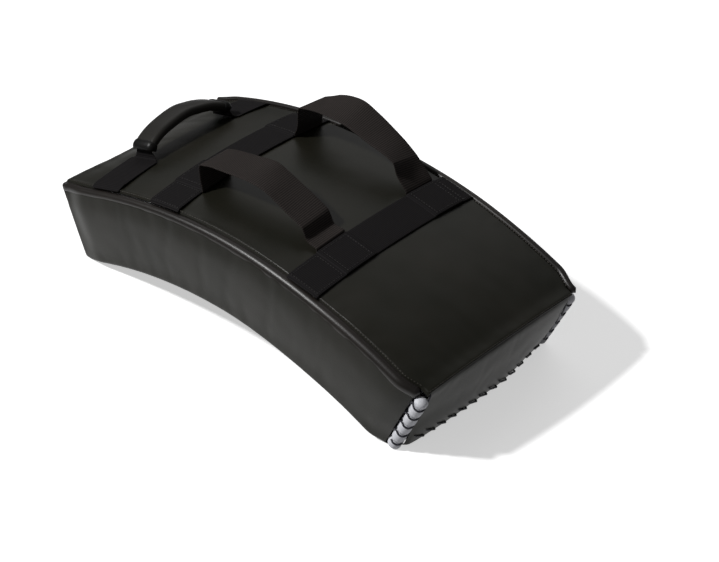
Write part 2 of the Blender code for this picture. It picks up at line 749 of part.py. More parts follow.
def main():
    for thing in list(bpy.data.objects):
        bpy.data.objects.remove(thing)
    vinyl = finish_material("black_faux_leather", (0.018, 0.018, 0.016), 0.42)
    webbing = finish_material("black_ribbed_webbing", (0.010, 0.009, 0.011), 0.85)
    cord = finish_material("black_lace_cord", (0.008, 0.008, 0.012), 0.60)
    white = finish_material("white_lining_fabric", (0.72, 0.72, 0.76), 0.75)
    firm = finish_material("firm_grey_foam", (0.20, 0.20, 0.21), 0.95)
    core = finish_material("laminated_core_foam", (0.35, 0.35, 0.36), 0.95)
    soft = finish_material("soft_strike_foam", (0.50, 0.50, 0.48), 0.95)

    back_panel(vinyl)
    strike_panel(vinyl)
    side_panels(vinyl)
    flap_side = ROLL_INSET + ROLL_RADIUS + GAP
    end_panel("lacing_flap", -1, flap_side, LACED_END_DEPTH - FLAP_LOWER_EDGE, vinyl)
    end_panel("closed_end_panel", 1, 0, lower_depth(HALF_ARC, PANEL + GAP), vinyl)
    back_welts(vinyl)
    corner_rolls(white)
    strike_edge_roll(white)
    corner_laces(cord)
    strike_edge_lace(cord)
    liner_bag(white)
    foam_layers(firm, core, soft)
    side = half_width(HANDLE_BAND_ARC) - BAND_SIDE_INSET
    band_over_back("handle_left_band", HANDLE_BAND_ARC, -side, HANDLE_LEFT_X + BAND_PAST_ROOT, [],
                   webbing)
    band_over_back("handle_right_band", HANDLE_BAND_ARC, HANDLE_RIGHT_X - BAND_PAST_ROOT, side, [],
                   webbing)
    for name, arc in (("upper_strap_band", UPPER_BAND_ARC), ("lower_strap_band", LOWER_BAND_ARC)):
        side = half_width(arc) - BAND_SIDE_INSET
        band_over_back(name, arc, -side, side, [LEFT_STRAP_X, RIGHT_STRAP_X], webbing)
    arm_strap("left", LEFT_STRAP_X, LEFT_STRAP_OUTLINE, webbing)
    arm_strap("right", RIGHT_STRAP_X, RIGHT_STRAP_OUTLINE, webbing)
    carry_handle(webbing, vinyl, soft)
    stand_on_origin()


main()
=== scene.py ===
"""The look of the curved strike shield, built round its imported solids.

The cover's panels swell over the filling by cloth pressure, and are then given their rolled
seams, stitches and folds. The webbing is woven flat and bent to its place. Lengths are in metres
unless a name says mm.
"""

import math

import bmesh
import bpy
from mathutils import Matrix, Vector, noise


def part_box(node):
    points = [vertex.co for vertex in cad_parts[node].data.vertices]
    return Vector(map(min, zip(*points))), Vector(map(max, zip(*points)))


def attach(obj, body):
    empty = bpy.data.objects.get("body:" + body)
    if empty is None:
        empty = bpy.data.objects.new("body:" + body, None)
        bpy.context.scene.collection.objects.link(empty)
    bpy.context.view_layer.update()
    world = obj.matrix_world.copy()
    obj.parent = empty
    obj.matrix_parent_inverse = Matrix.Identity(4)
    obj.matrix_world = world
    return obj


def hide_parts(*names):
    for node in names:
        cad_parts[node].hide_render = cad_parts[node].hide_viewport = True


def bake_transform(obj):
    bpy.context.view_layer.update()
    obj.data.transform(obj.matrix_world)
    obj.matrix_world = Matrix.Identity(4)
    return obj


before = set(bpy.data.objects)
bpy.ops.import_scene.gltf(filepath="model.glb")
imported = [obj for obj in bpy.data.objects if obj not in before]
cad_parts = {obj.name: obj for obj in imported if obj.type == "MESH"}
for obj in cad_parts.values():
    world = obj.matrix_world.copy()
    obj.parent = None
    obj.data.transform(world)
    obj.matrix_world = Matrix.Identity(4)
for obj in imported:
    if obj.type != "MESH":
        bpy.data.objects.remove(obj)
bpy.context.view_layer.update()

MM = 0.001

# The block. Its radius, lengths, widths, depths and crowns are the solids' own.
BACK_RADIUS = 0.7435
HALF_ARC = 0.3165
LACED_END_DEPTH, CLOSED_END_DEPTH = 0.117, 0.106
LACED_END_WIDTH, CLOSED_END_WIDTH = 0.290, 0.282
BACK_CROWN, LACED_END_CROWN, CLOSED_END_CROWN = 0.011, 0.0085, 0.0
CROWN_FADE_POWER = 6
FLAP_BELLY = 0.006
STRIKE_EDGE_BULGE, STRIKE_EDGE_BULGE_LENGTH = 0.0065, 0.09
CLOSED_END_BELLY = 0.003
PRESSED_HEIGHT = 0.0045  # how far the floor presses into the strike edges
GAP = 0.0004

# The filling's push, as the cloth shows it: out at the sides between the ends, a little nearer
# to the ends than in the solids, and out and up at the closed end's near corner.
SIDE_SWELL, CLOSED_HALF_SWELL = 0.0084, 0.5
SIDE_SWELL_MARGIN, SIDE_SWELL_RISE = 0.008, 0.032
SIDE_SWELL_FADE_START, SIDE_SWELL_FADE = -0.170, 0.210
CORNER_PUFF, CORNER_PUFF_LIFT = 0.007, 0.5
CORNER_PUFF_ACROSS, CORNER_PUFF_START = (0.02, 0.13), 0.25

END_ANGLE = HALF_ARC / BACK_RADIUS
LACED_STRIKE_RADIUS = BACK_RADIUS - LACED_END_DEPTH
CLOSED_STRIKE_RADIUS = BACK_RADIUS - CLOSED_END_DEPTH
TIP = math.atan2(
    (LACED_STRIKE_RADIUS - CLOSED_STRIKE_RADIUS) * math.cos(END_ANGLE),
    (LACED_STRIKE_RADIUS + CLOSED_STRIKE_RADIUS) * math.sin(END_ANGLE),
)
FLOOR_RADIUS = LACED_STRIKE_RADIUS * math.cos(END_ANGLE + TIP) + PRESSED_HEIGHT
ALONG_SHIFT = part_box("back_panel")[1][1] - BACK_RADIUS * math.sin(END_ANGLE - TIP)

# The cloth that is blown up over the filling, and how many cells of it a panel has by its width
# or its length in mm.
CLOTH_FRAMES = 20
CLOTH_PRESSURE, CLOTH_SLACK = 4.0, -0.01
CLOTH_STIFFNESS, CLOTH_BENDING = 30.0, 0.3
CLOTH_QUALITY, CLOTH_MASS = 6, 0.3
CLOTH_COUNTS = {290: 44, 282: 44, 633: 96, 600: 96, 556: 96, 112: 18, 101: 18}
CLOTH_POINTS_PER_METRE = 2e4  # points of two panels that agree to 0.05 mm are one

# The cover's sewing.
LEATHER_MM = 1.6
PANEL_CELL_MM = 5.5
SWELL_CAP_MM = 3.5
SWELL_START_MM = 1.5
SETTLED_MM = 20.0  # this far inside its borders, a panel's median lies on the block
SIDE_WIDE_MM, SIDE_LONG_MM, FLAP_LONG_MM = 112, 600, 290
SEAM_STATIONS_MM = (0.0, 0.7, 1.6, 3.0, 5.0, 7.5, 11.0)
SIDE_ROUNDING_MM, CLOSED_ROUNDING_MM = 6.0, 6.0
FLAP_ROUNDING_MM = 12.0
CORNER_OPENING_MM = 14.2
FLAP_LOWER_EDGE_MM = 0.6
# Each rolled edge's radius, its axis' inset and depth, and how far from the laced end it starts.
ROLLED_EDGES_MM = {"left": (9.0, 9.0, 11.0, 9.0), "right": (5.4, 4.6, 2.6, 1.5)}
ROLLED_EDGE_TAPER, ROLLED_EDGE_START_SHARE, ROLLED_EDGE_CAP = 0.030, 0.88, 0.004
ROLLED_EDGE_END_GAP, ROLLED_EDGE_TIP_MM = 0.0015, 0.2
RIDGE_LOSS, RIDGE_LOSS_SPAN = 0.35, (0.35, 0.8)
SIDE_LEAN_MM, SIDE_LEAN_START_MM, SIDE_LEAN_LENGTH_MM = 4.0, 8.7, 29.0
SIDE_LEAN_TUCK_POWER = 1.3
# The near side's belly as a share of its lean, and how far it fades from the strike face, the
# laced end and the closed end.
SIDE_BELLY_SHARE, SIDE_BELLY_FADES_MM = 0.9, (75, 25, 40)
SIDE_CALM_MM = (5, 28)  # its folds begin and are full this far below the rolled edge
GROOVE_LOSS, GROOVE_LOSS_SPAN_MM = 0.25, (190, 430)
# The flap's changes low down, and where along it they run.
FLAP_LOW_MM = (50, 105)
FLAP_BULGE_MM, FLAP_BULGE_END_MM, FLAP_BULGE_START_MM = 7.0, (260, 180), (0, 22)
FLAP_DRAWN_IN_MM, FLAP_DRAWN_IN_SPAN_MM = 2.0, (255, 290)
# Folds as (length across, length along, strength, seed shift), and how far from a seam they fade.
BROAD_FOLDS, FINER_FOLDS, PUCKERS = (62, 88, 1.0, 0), (23, 30, 0.4, 7), (7.5, 7.5, 0.2, 13)
FOLD_DEPTH_MM, FOLD_SEED_STEP = 0.8, 3.7
FOLD_FADE_MM, PUCKER_FADE_MM, PUCKER_REACH_MM = (0, 16), (0, 5), (26, 4)

# The rows of thread.
SEAM_STITCH_PITCH, STITCH_SHARE, STITCH_THICKNESS = 0.0042, 0.8, 0.0009
EDGE_ROW_INSET_MM, LACED_ROW_INSET_MM = 2.6, 3.0
EDGE_ROW_MARGINS, LACED_ROW_MARGIN, LACED_ROW_LIFT = (0.016, 0.008), 0.014, 0.0004
BAND_ROW_LIFT, BAND_BOX_HALF, BAND_BOX_END_GAP, BAND_BOX_NEXT = 0.0005, 0.021, 0.004, 0.030

# Laced rolls, and the black lace over them.
ROLL_RADIUS, ROLL_INSET = 0.0086, 0.006
ROLL_TOP_DEPTH, ROLL_FOOT_HEIGHT = 0.0095, 0.0052
ROLL_PINCH, ROLL_PINCH_WIDTH, ROLL_TIP = 0.0022, 0.0030, 0.0008
ROLL_TOP_CAP, ROLL_FOOT_CAP = 0.006, 0.004
ROLL_SETBACKS = {"left": 0.0025, "right": 0.005}
EDGE_ROLL_RADIUS, EDGE_ROLL_INSET, EDGE_ROLL_HEIGHT = 0.005, 0.008, 0.016
EDGE_ROLL_PINCH = 0.12
LACE_RADIUS = 0.0012
LACE_LIE = LACE_RADIUS - 0.0004  # the lace's middle over the leather, pressed in a little
LACE_SAG = 0.0022
LACE_PITCH = 0.019
FIRST_LACE_DEPTH = 0.022
CORNER_LACE_TURNS, EDGE_LACE_TURNS = 5, 13
# The angles round a corner's roll through which a lace runs, in degrees.
LACE_OVER_ANGLES = (160, 120, 85, 45, 5, -30, -60)
LACE_BEHIND_ANGLES, LACE_BEHIND_DROP = (-60, -105, -150, -195), 0.9 * LACE_PITCH
# A turn of the whip lace: how far along, how high over the strike edge, how far off the flap.
WHIP_TURN = (
    (-0.0100, 0.0285, -0.003), (-0.0088, 0.0275, LACE_LIE), (-0.0035, 0.0240, LACE_LIE),
    (0.0030, 0.0205, LACE_LIE), (0.0080, 0.0180, LACE_LIE), (0.0090, 0.0175, -0.004),
)

# Webbing.
WEBBING_WIDTH = 0.050
BAND_THICKNESS = 0.0020
STRAP_THICKNESS = 0.0018
# A selvage's rounding: how far in from the edge, and the share of the thickness left there.
SELVAGE = ((0.0001, 0.35), (0.0006, 0.8), (0.0018, 1.0))
SELVAGE_WIDTH = 0.005
RIB_PITCH_MM = 2.7
RIB_HEIGHT_MM = 0.25
RIB_SAMPLES = 4
HANDLE_BAND_ARC, UPPER_BAND_ARC, LOWER_BAND_ARC = 0.236, 0.1275, -0.110
LEFT_STRAP_X, RIGHT_STRAP_X = -0.066, 0.097
# Each strap's two edges over the back, as (arc, height) from the upper root to the lower one.
LEFT_STRAP_EDGES = (
    [(0.1030, 0.0280), (0.1025, 0.0440), (0.1000, 0.0475), (0.0950, 0.0490), (0.0800, 0.0515),
     (0.0500, 0.0530), (0.0250, 0.0545), (0.0020, 0.0525), (-0.0170, 0.0450), (-0.0360, 0.0370),
     (-0.0520, 0.0315), (-0.0575, 0.0290), (-0.0600, 0.0230), (-0.0640, 0.0150)],
    [(0.1025, 0.0280), (0.1020, 0.0440), (0.0990, 0.0475), (0.0940, 0.0490), (0.0790, 0.0520),
     (0.0540, 0.0555), (0.0240, 0.0600), (0.0060, 0.0545), (-0.0140, 0.0465), (-0.0310, 0.0405),
     (-0.0500, 0.0335), (-0.0555, 0.0305), (-0.0590, 0.0245), (-0.0635, 0.0155)],
)
RIGHT_STRAP_EDGES = (
    [(0.0960, 0.0260), (0.0925, 0.0500), (0.0900, 0.0545), (0.0850, 0.0560), (0.0690, 0.0590),
     (0.0540, 0.0600), (0.0390, 0.0605), (0.0200, 0.0595), (0.0020, 0.0560), (-0.0150, 0.0520),
     (-0.0400, 0.0485), (-0.0550, 0.0450), (-0.0600, 0.0415), (-0.0660, 0.0280)],
    [(0.0980, 0.0260), (0.0960, 0.0420), (0.0925, 0.0470), (0.0870, 0.0500), (0.0770, 0.0545),
     (0.0630, 0.0615), (0.0440, 0.0665), (0.0260, 0.0670), (0.0050, 0.0593), (-0.0120, 0.0520),
     (-0.0350, 0.0415), (-0.0520, 0.0320), (-0.0570, 0.0285), (-0.0670, 0.0190)],
)
LEFT_STRAP_SKEW, RIGHT_STRAP_SKEW = 0.005, 0.0
BAND_END_INSET = 0.0075
BAND_CLEARANCE, BAND_RISE_OUTSIDE, BAND_RISE_INSIDE = 0.0004, 0.0035, 0.0005
BAND_TUCK_LENGTH, BAND_TUCK_DEPTH = 0.004, 0.0022
STRAP_ROOT_HEIGHT = 0.012
STRAP_TAIL = 0.045
LOWER_TAIL_SHOWS = 0.008
# The legs' slope towards the lower band, below this height over the back.
LEG_TO_BAND, LEG_SLOPE_HEIGHT = 0.0065, 0.035
# A strap's sewn ends: how far past the root along the back, and how high over lying flat.
UPPER_STRAP_END = ((STRAP_TAIL, 0), (0.020, 0), (0.006, 0), (0.0012, 0.0010), (0, 0.0050))
LOWER_STRAP_END = (
    (0.0066, 0.0045), (0.0078, 0.0008), (0.012, 0),
    ((LOWER_TAIL_SHOWS + STRAP_TAIL) / 2, 0), (LOWER_TAIL_SHOWS + STRAP_TAIL, 0),
)

# Carry handle.
HANDLE_WEBBING_WIDTH, HANDLE_FOOT_WIDTH = 0.028, 0.040
HANDLE_LEFT_X, HANDLE_RIGHT_X = -0.0620, 0.0770
HANDLE_OUTLINE = [
    (-0.0560, 0.0280), (-0.0330, 0.0375), (0.0050, 0.0430),
    (0.0300, 0.0400), (0.0520, 0.0340), (0.0710, 0.0250),
]
HANDLE_ROOT_HEIGHT, ROOT_RISE = 0.0062, 0.004
HANDLE_LIE, HANDLE_TUCK = 0.0006, 0.0022
HANDLE_FOOT_START, HANDLE_FOOT_END, HANDLE_FOOT_LIFT = 0.006, 0.0012, 0.0010
HANDLE_FOOT_NARROWING = 0.008
GRIP_WIDTH, GRIP_THICKNESS, GRIP_CORNER = 0.0345, 0.0120, 0.0056
GRIP_SWELL, GRIP_STEPS = 0.0008, 90
COLLAR_WALL, COLLAR_LENGTH = 0.0014, 0.010
COLLAR_ROLL, COLLAR_SUNK = 0.0010, 0.0008
GRIP_START, GRIP_END_MARGIN = 0.0045, 0.0035


def share(arc):
    """0 at the laced end, 1 at the closed end."""
    return (arc + HALF_ARC) / (2 * HALF_ARC)


def smooth(value, low=0.0, high=1.0):
    """0 at low, 1 at high, and a smooth step between them."""
    t = min(1.0, max(0.0, (value - low) / (high - low)))
    return t * t * (3 - 2 * t)


def side_swell(arc):
    """How far the filling pushes each side out between the ends."""
    rise = smooth((HALF_ARC - abs(arc) - SIDE_SWELL_MARGIN) / SIDE_SWELL_RISE)
    fade = smooth((arc - SIDE_SWELL_FADE_START) / SIDE_SWELL_FADE)
    return SIDE_SWELL * rise * (1 - (1 - CLOSED_HALF_SWELL) * fade)


def half_width(arc):
    straight = (LACED_END_WIDTH + (CLOSED_END_WIDTH - LACED_END_WIDTH) * share(arc)) / 2
    return straight + side_swell(arc)


def full_depth(arc):
    return LACED_END_DEPTH + (CLOSED_END_DEPTH - LACED_END_DEPTH) * share(arc)


def crown(x, arc):
    """How far the back stands proud of its side edges."""
    end_crown = LACED_END_CROWN if arc < 0 else CLOSED_END_CROWN
    fade = abs(arc / HALF_ARC) ** CROWN_FADE_POWER
    return (BACK_CROWN + (end_crown - BACK_CROWN) * fade) * (1 - (x / half_width(arc)) ** 2)


def strike_edge_bulge(x):
    return STRIKE_EDGE_BULGE * (1 - (2 * x / LACED_END_WIDTH) ** 4)


def end_bulge(end, x, depth):
    """How far an end face swells outwards."""
    across = 1 - (x / half_width(end * HALF_ARC)) ** 2
    belly = math.sin(math.pi * depth / full_depth(end * HALF_ARC)) * across
    if end > 0:
        return CLOSED_END_BELLY * belly
    return FLAP_BELLY * belly + strike_edge_bulge(x) * depth / LACED_END_DEPTH


def block_point(x, arc, depth):
    """A point of the block, by its place along the back's arc and its depth under the back."""
    puff = CORNER_PUFF * smooth(-x, *CORNER_PUFF_ACROSS) * smooth(arc, CORNER_PUFF_START, HALF_ARC)
    angle = (arc + puff) / BACK_RADIUS - TIP
    lift = CORNER_PUFF_LIFT * puff * (1 - smooth(depth, 0.0, CLOSED_END_DEPTH))
    radius = BACK_RADIUS - depth + lift
    return Vector((
        x, radius * math.sin(angle) + ALONG_SHIFT, radius * math.cos(angle) - FLOOR_RADIUS
    ))


def back_normal(arc):
    angle = arc / BACK_RADIUS - TIP
    return Vector((0, math.sin(angle), math.cos(angle)))


def back_tangent(arc):
    normal = back_normal(arc)
    return Vector((0, normal.z, -normal.y))


def back_point(x, arc, lift):
    return block_point(x, arc, -crown(x, arc) - lift)


def end_point(end, x, depth, inset):
    """A point at an inset from the flat plane of an end: -1 is the laced end, 1 the closed."""
    arc = end * HALF_ARC
    return block_point(x, arc, depth) - back_tangent(arc) * (end * inset)


def lower_depth(arc, lift):
    """The depth a lift above the strike face, or above the floor where that comes first."""
    floor_depth = BACK_RADIUS - (FLOOR_RADIUS + lift) / math.cos(arc / BACK_RADIUS - TIP)
    return min(full_depth(arc) - lift, floor_depth)


def stops(start, end, steps):
    return [start + (end - start) * i / steps for i in range(steps + 1)]


def spline_point(points, place):
    """A point of the smooth line through points. place counts the points from 0."""
    i = min(int(place), len(points) - 2)
    t = place - i
    start, end = points[i], points[i + 1]
    before = points[i - 1] if i else 2 * start - end
    after = points[i + 2] if i + 2 < len(points) else 2 * end - start
    return 0.5 * (
        2 * start + (end - before) * t
        + (2 * before - 5 * start + 4 * end - after) * t ** 2
        + (3 * start - before - 3 * end + after) * t ** 3
    )


def curve_through(points, per_span=4):
    spans = len(points) - 1
    return [spline_point(points, k / per_span) for k in range(spans * per_span + 1)]


def tangents(path):
    ends = [path[0]] + path + [path[-1]]
    return [(ends[i + 2] - ends[i]).normalized() for i in range(len(path))]


def lengths_along(path):
    lengths = [0.0]
    for a, b in zip(path, path[1:]):
        lengths.append(lengths[-1] + (b - a).length)
    return lengths


def resampled(path, start, end, steps):
    """Points at even lengths along part of a path, from start to end along it."""
    lengths = lengths_along(path)
    found, i = [], 0
    for target in stops(start, end, steps):
        while i < len(path) - 2 and lengths[i + 1] < target:
            i += 1
        part = (target - lengths[i]) / (lengths[i + 1] - lengths[i])
        found.append(path[i].lerp(path[i + 1], part))
    return found


# Materials

MIX_A, MIX_B, MIX_RESULT = 6, 7, 2  # the colour sockets of a Mix node


def colour(hexadecimal, alpha=1.0):
    """A hex sRGB colour as the linear values that a shader takes."""
    channels = [int(hexadecimal[i:i + 2], 16) / 255 for i in (0, 2, 4)]
    linear = [c / 12.92 if c <= 0.04045 else ((c + 0.055) / 1.055) ** 2.4 for c in channels]
    return (*linear, alpha)


def node(tree, kind, inputs=None, **settings):
    """Adds a node, with its properties, and each input's value or the socket that feeds it."""
    made = tree.nodes.new(kind)
    for key, value in settings.items():
        setattr(made, key, value)
    for key, value in (inputs or {}).items():
        if isinstance(value, bpy.types.NodeSocket):
            tree.links.new(value, made.inputs[key])
        else:
            made.inputs[key].default_value = value
    return made


def finish(name, roughness, specular=0.5):
    """A material's tree and shader, with what is the same all over its surface."""
    material = bpy.data.materials.new(name)
    material.use_nodes = True
    shader = material.node_tree.nodes["Principled BSDF"]
    shader.inputs["Roughness"].default_value = roughness
    shader.inputs["IOR"].default_value = 1.5
    shader.inputs["Specular IOR Level"].default_value = specular
    return material, material.node_tree, shader


def faux_leather(name, base, paler_tone, specular=0.30, smoothest=0.37):
    """PVC faux leather, calendered and embossed with a fine grain: a low, even sheen over a
    near-black body, broken by pebbles. They are drawn 1.7 mm across, coarser than the real
    grain, so that they show. Stretched, it is glossier."""
    material, tree, shader = finish(name, 0.5, specular=specular)
    place = node(tree, "ShaderNodeTexCoord").outputs["Object"]
    pebbles = node(tree, "ShaderNodeTexVoronoi", {
        "Vector": place, "Scale": 1 / (1.7 * MM), "Smoothness": 0.6}, feature="SMOOTH_F1")
    cloudy = node(tree, "ShaderNodeTexNoise", {
        "Vector": place, "Scale": 1 / (90 * MM), "Detail": 4.0, "Roughness": 0.55})
    fine = node(tree, "ShaderNodeTexNoise", {"Vector": place, "Scale": 1 / (0.9 * MM)})
    tone = node(tree, "ShaderNodeMapRange", {
        "Value": cloudy.outputs["Fac"], "From Min": 0.35, "From Max": 0.75})
    blend = node(tree, "ShaderNodeMix", {
        "Factor": tone.outputs["Result"], MIX_A: colour(base), MIX_B: colour(paler_tone)},
        data_type="RGBA")
    tree.links.new(blend.outputs[MIX_RESULT], shader.inputs["Base Color"])
    rough = node(tree, "ShaderNodeMapRange", {
        "Value": fine.outputs["Fac"], "From Min": 0.3, "From Max": 0.7,
        "To Min": smoothest, "To Max": smoothest + 0.08})
    tree.links.new(rough.outputs["Result"], shader.inputs["Roughness"])
    grain = node(tree, "ShaderNodeBump", {
        "Height": pebbles.outputs["Distance"], "Strength": 0.35, "Distance": 0.12 * MM})
    tree.links.new(grain.outputs["Normal"], shader.inputs["Normal"])
    return material


def webbing_weave(name, base, lit_rib_crest):
    """Polypropylene webbing, woven with thick weft ribs across its width: dull, with a painted
    highlight along the top of each rib. The weave UV is in mm: across the width, then along the
    length. The ribs are drawn coarser than the real ones so that they show."""
    material, tree, shader = finish(name, 0.75, specular=0.12)
    place = node(tree, "ShaderNodeUVMap", uv_map="weave").outputs["UV"]
    parts = node(tree, "ShaderNodeSeparateXYZ", {"Vector": place})
    turns = node(tree, "ShaderNodeMath", {
        0: parts.outputs["Y"], 1: 2 * math.pi / RIB_PITCH_MM}, operation="MULTIPLY")
    ribs = node(tree, "ShaderNodeMath", {0: turns.outputs[0]}, operation="COSINE")
    yarn = node(tree, "ShaderNodeTexNoise", {"Vector": place, "Scale": 1.6, "Detail": 3.0})
    top = node(tree, "ShaderNodeMapRange", {
        "Value": ribs.outputs[0], "From Min": -1.0, "From Max": 1.0})
    # Painted highlight: the crest of each rib is drawn paler, as where it catches the light,
    # broken by the yarn's noise.
    paler_tone = node(tree, "ShaderNodeMath", {
        0: top.outputs["Result"], 1: yarn.outputs["Fac"]}, operation="MULTIPLY")
    blend = node(tree, "ShaderNodeMix", {
        "Factor": paler_tone.outputs[0], MIX_A: colour(base), MIX_B: colour(lit_rib_crest)},
        data_type="RGBA")
    tree.links.new(blend.outputs[MIX_RESULT], shader.inputs["Base Color"])
    fuzz = node(tree, "ShaderNodeBump", {
        "Height": yarn.outputs["Fac"], "Strength": 0.5, "Distance": 0.15 * MM})
    tree.links.new(fuzz.outputs["Normal"], shader.inputs["Normal"])
    return material


def coated_lining(name, base, bright):
    """Coated polyester lining, plain woven: clean white with a soft shine. Its threads are
    drawn 1.2 mm apart, coarser than the real ones, so that they show."""
    material, tree, shader = finish(name, 0.5)
    place = node(tree, "ShaderNodeTexCoord").outputs["Object"]
    weave = node(tree, "ShaderNodeTexNoise", {"Vector": place, "Scale": 1 / (1.2 * MM)})
    blend = node(tree, "ShaderNodeMix", {
        "Factor": weave.outputs["Fac"], MIX_A: colour(base), MIX_B: colour(bright)},
        data_type="RGBA")
    tree.links.new(blend.outputs[MIX_RESULT], shader.inputs["Base Color"])
    cloth = node(tree, "ShaderNodeBump", {
        "Height": weave.outputs["Fac"], "Strength": 0.2, "Distance": 0.1 * MM})
    tree.links.new(cloth.outputs["Normal"], shader.inputs["Normal"])
    return material


def cellular(name, base, pits, cell_mm, roughness, depth_mm):
    """A dull material with a second colour between its small cells, and the cells as a bump: the
    open cells of cut foam, or the yarns of a braided lace or a bonded thread, drawn coarser than
    real where they are fine. For the foams the second colour is darker, painted shade in the open
    pores; for the lace and threads it is lighter."""
    material, tree, shader = finish(name, roughness)
    place = node(tree, "ShaderNodeTexCoord").outputs["Object"]
    cells = node(tree, "ShaderNodeTexVoronoi", {"Vector": place, "Scale": 1 / (cell_mm * MM)})
    blend = node(tree, "ShaderNodeMix", {
        "Factor": cells.outputs["Distance"], MIX_A: colour(base), MIX_B: colour(pits)},
        data_type="RGBA")
    tree.links.new(blend.outputs[MIX_RESULT], shader.inputs["Base Color"])
    relief = node(tree, "ShaderNodeBump", {
        "Height": cells.outputs["Distance"], "Strength": 0.5, "Distance": depth_mm * MM})
    tree.links.new(relief.outputs["Normal"], shader.inputs["Normal"])
    return material


LEATHER_FINISH = faux_leather("black_faux_leather", "1a1a13", "211f18")
PIPING_FINISH = faux_leather("stretched_faux_leather", "1c1917", "26211d", 0.45, 0.34)
# Painted light: the grip's leather is a lighter copy of the cover's, for the light that its
# rounded top catches.
LIT_GRIP_FINISH = faux_leather("grip_faux_leather", "262523", "302e2b")
# Painted shade: the rolled cuffs' leather is a darker copy of the cover's, for the shade at the
# grip's ends.
SHADED_CUFF_FINISH = faux_leather("cuff_faux_leather", "0d0d0c", "141312")
BAND_FINISH = webbing_weave("band_webbing", "100f10", "2a2728")
# Partly painted light: the straps' webbing is drawn lighter than the bands', partly for its own
# browner tone and partly for the light that the standing loops catch.
LIT_STRAP_FINISH = webbing_weave("strap_webbing", "211e1d", "4c4542")
LINING_FINISH = coated_lining("white_coated_lining", "d6d8e2", "f4f4f6")
CORD_FINISH = cellular("braided_lace", "15151c", "2b2b36", 1.0, 0.55, 0.2)
# Partly painted highlight: the seam rows are real stitches, but their thread is paler than the
# leather so that it draws the light line that the seam edges catch.
SEAM_THREAD = cellular("bonded_seam_thread", "3a3732", "48443d", 0.4, 0.6, 0.05)
BAND_THREAD = cellular("bonded_band_thread", "1d1b1b", "2c2a29", 0.4, 0.6, 0.05)
# Painted shade: the foams' darker colour between cells stands for the shade in their open pores.
FIRM_FOAM = cellular("firm_foam", "54565a", "2a2b2d", 1.2, 0.9, 0.4)
CORE_FOAM = cellular("laminated_foam", "7a7b7e", "3b3c3e", 1.6, 0.9, 0.4)
SOFT_FOAM = cellular("soft_foam", "a9a9a2", "5a5a55", 2.0, 0.9, 0.5)


# Meshes


def in_view(name, data):
    """An object of the scene that shows a mesh, a light or a camera."""
    made = bpy.data.objects.new(name, data)
    bpy.context.collection.objects.link(made)
    return made


def grid_piece(name, rows, places, material, round_across=False, capped=False):
    """A mesh over rows of points. places holds each point's (across, along) in mm, its UV."""
    bm = bmesh.new()
    layer = bm.loops.layers.uv.new("weave")
    verts = [[bm.verts.new(point) for point in row] for row in rows]
    spot = {v: p for row, line in zip(verts, places) for v, p in zip(row, line)}
    count = len(verts[0])
    for first, second in zip(verts, verts[1:]):
        for j in range(count if round_across else count - 1):
            k = (j + 1) % count
            bm.faces.new((first[j], first[k], second[k], second[j]))
    if capped:
        bm.faces.new(verts[0][::-1])
        bm.faces.new(verts[-1])
    for face in bm.faces:
        for loop in face.loops:
            loop[layer].uv = spot[loop.vert]
    if round_across:
        bmesh.ops.recalc_face_normals(bm, faces=bm.faces)
    mesh = bpy.data.meshes.new(name)
    bm.to_mesh(mesh)
    bm.free()
    mesh.materials.append(material)
    mesh.shade_smooth()
    return in_view(name, mesh)


def add_modifier(piece, kind, **settings):
    modifier = piece.modifiers.new(kind.lower(), kind)
    for key, value in settings.items():
        setattr(modifier, key, value)
    return modifier


def bake_modifiers(piece):
    """Turns what the modifiers make into the piece's own mesh."""
    evaluated = piece.evaluated_get(bpy.context.evaluated_depsgraph_get())
    mesh = bpy.data.meshes.new_from_object(evaluated)
    piece.modifiers.clear()
    piece.data = mesh


def shape_tree(name, sizes):
    """A geometry tree with its inputs, and a material that it sets last. Returns the tree, the
    inputs' node and a function that closes the tree."""
    tree = bpy.data.node_groups.new(name, "GeometryNodeTree")
    tree.interface.new_socket("Geometry", in_out="INPUT", socket_type="NodeSocketGeometry")
    for size in sizes:
        tree.interface.new_socket(size, in_out="INPUT", socket_type="NodeSocketFloat")
    tree.interface.new_socket("Finish", in_out="INPUT", socket_type="NodeSocketMaterial")
    tree.interface.new_socket("Geometry", in_out="OUTPUT", socket_type="NodeSocketGeometry")
    given = node(tree, "NodeGroupInput")

    def close(shape):
        real = node(tree, "GeometryNodeRealizeInstances", {"Geometry": shape})
        dressed = node(tree, "GeometryNodeSetMaterial", {
            "Geometry": real.outputs[0], "Material": given.outputs["Finish"]})
        node(tree, "NodeGroupOutput", {"Geometry": dressed.outputs[0]})
    return tree, given, close


def grow(piece, tree, **inputs):
    """Runs a geometry tree over a piece, and keeps the result as its plain mesh."""
    modifier = piece.modifiers.new("grow", "NODES")
    modifier.node_group = tree
    for item in tree.interface.items_tree:
        if item.in_out == "INPUT" and item.name in inputs:
            modifier[item.identifier] = inputs[item.name]
    bake_modifiers(piece)
    piece.data.shade_smooth()


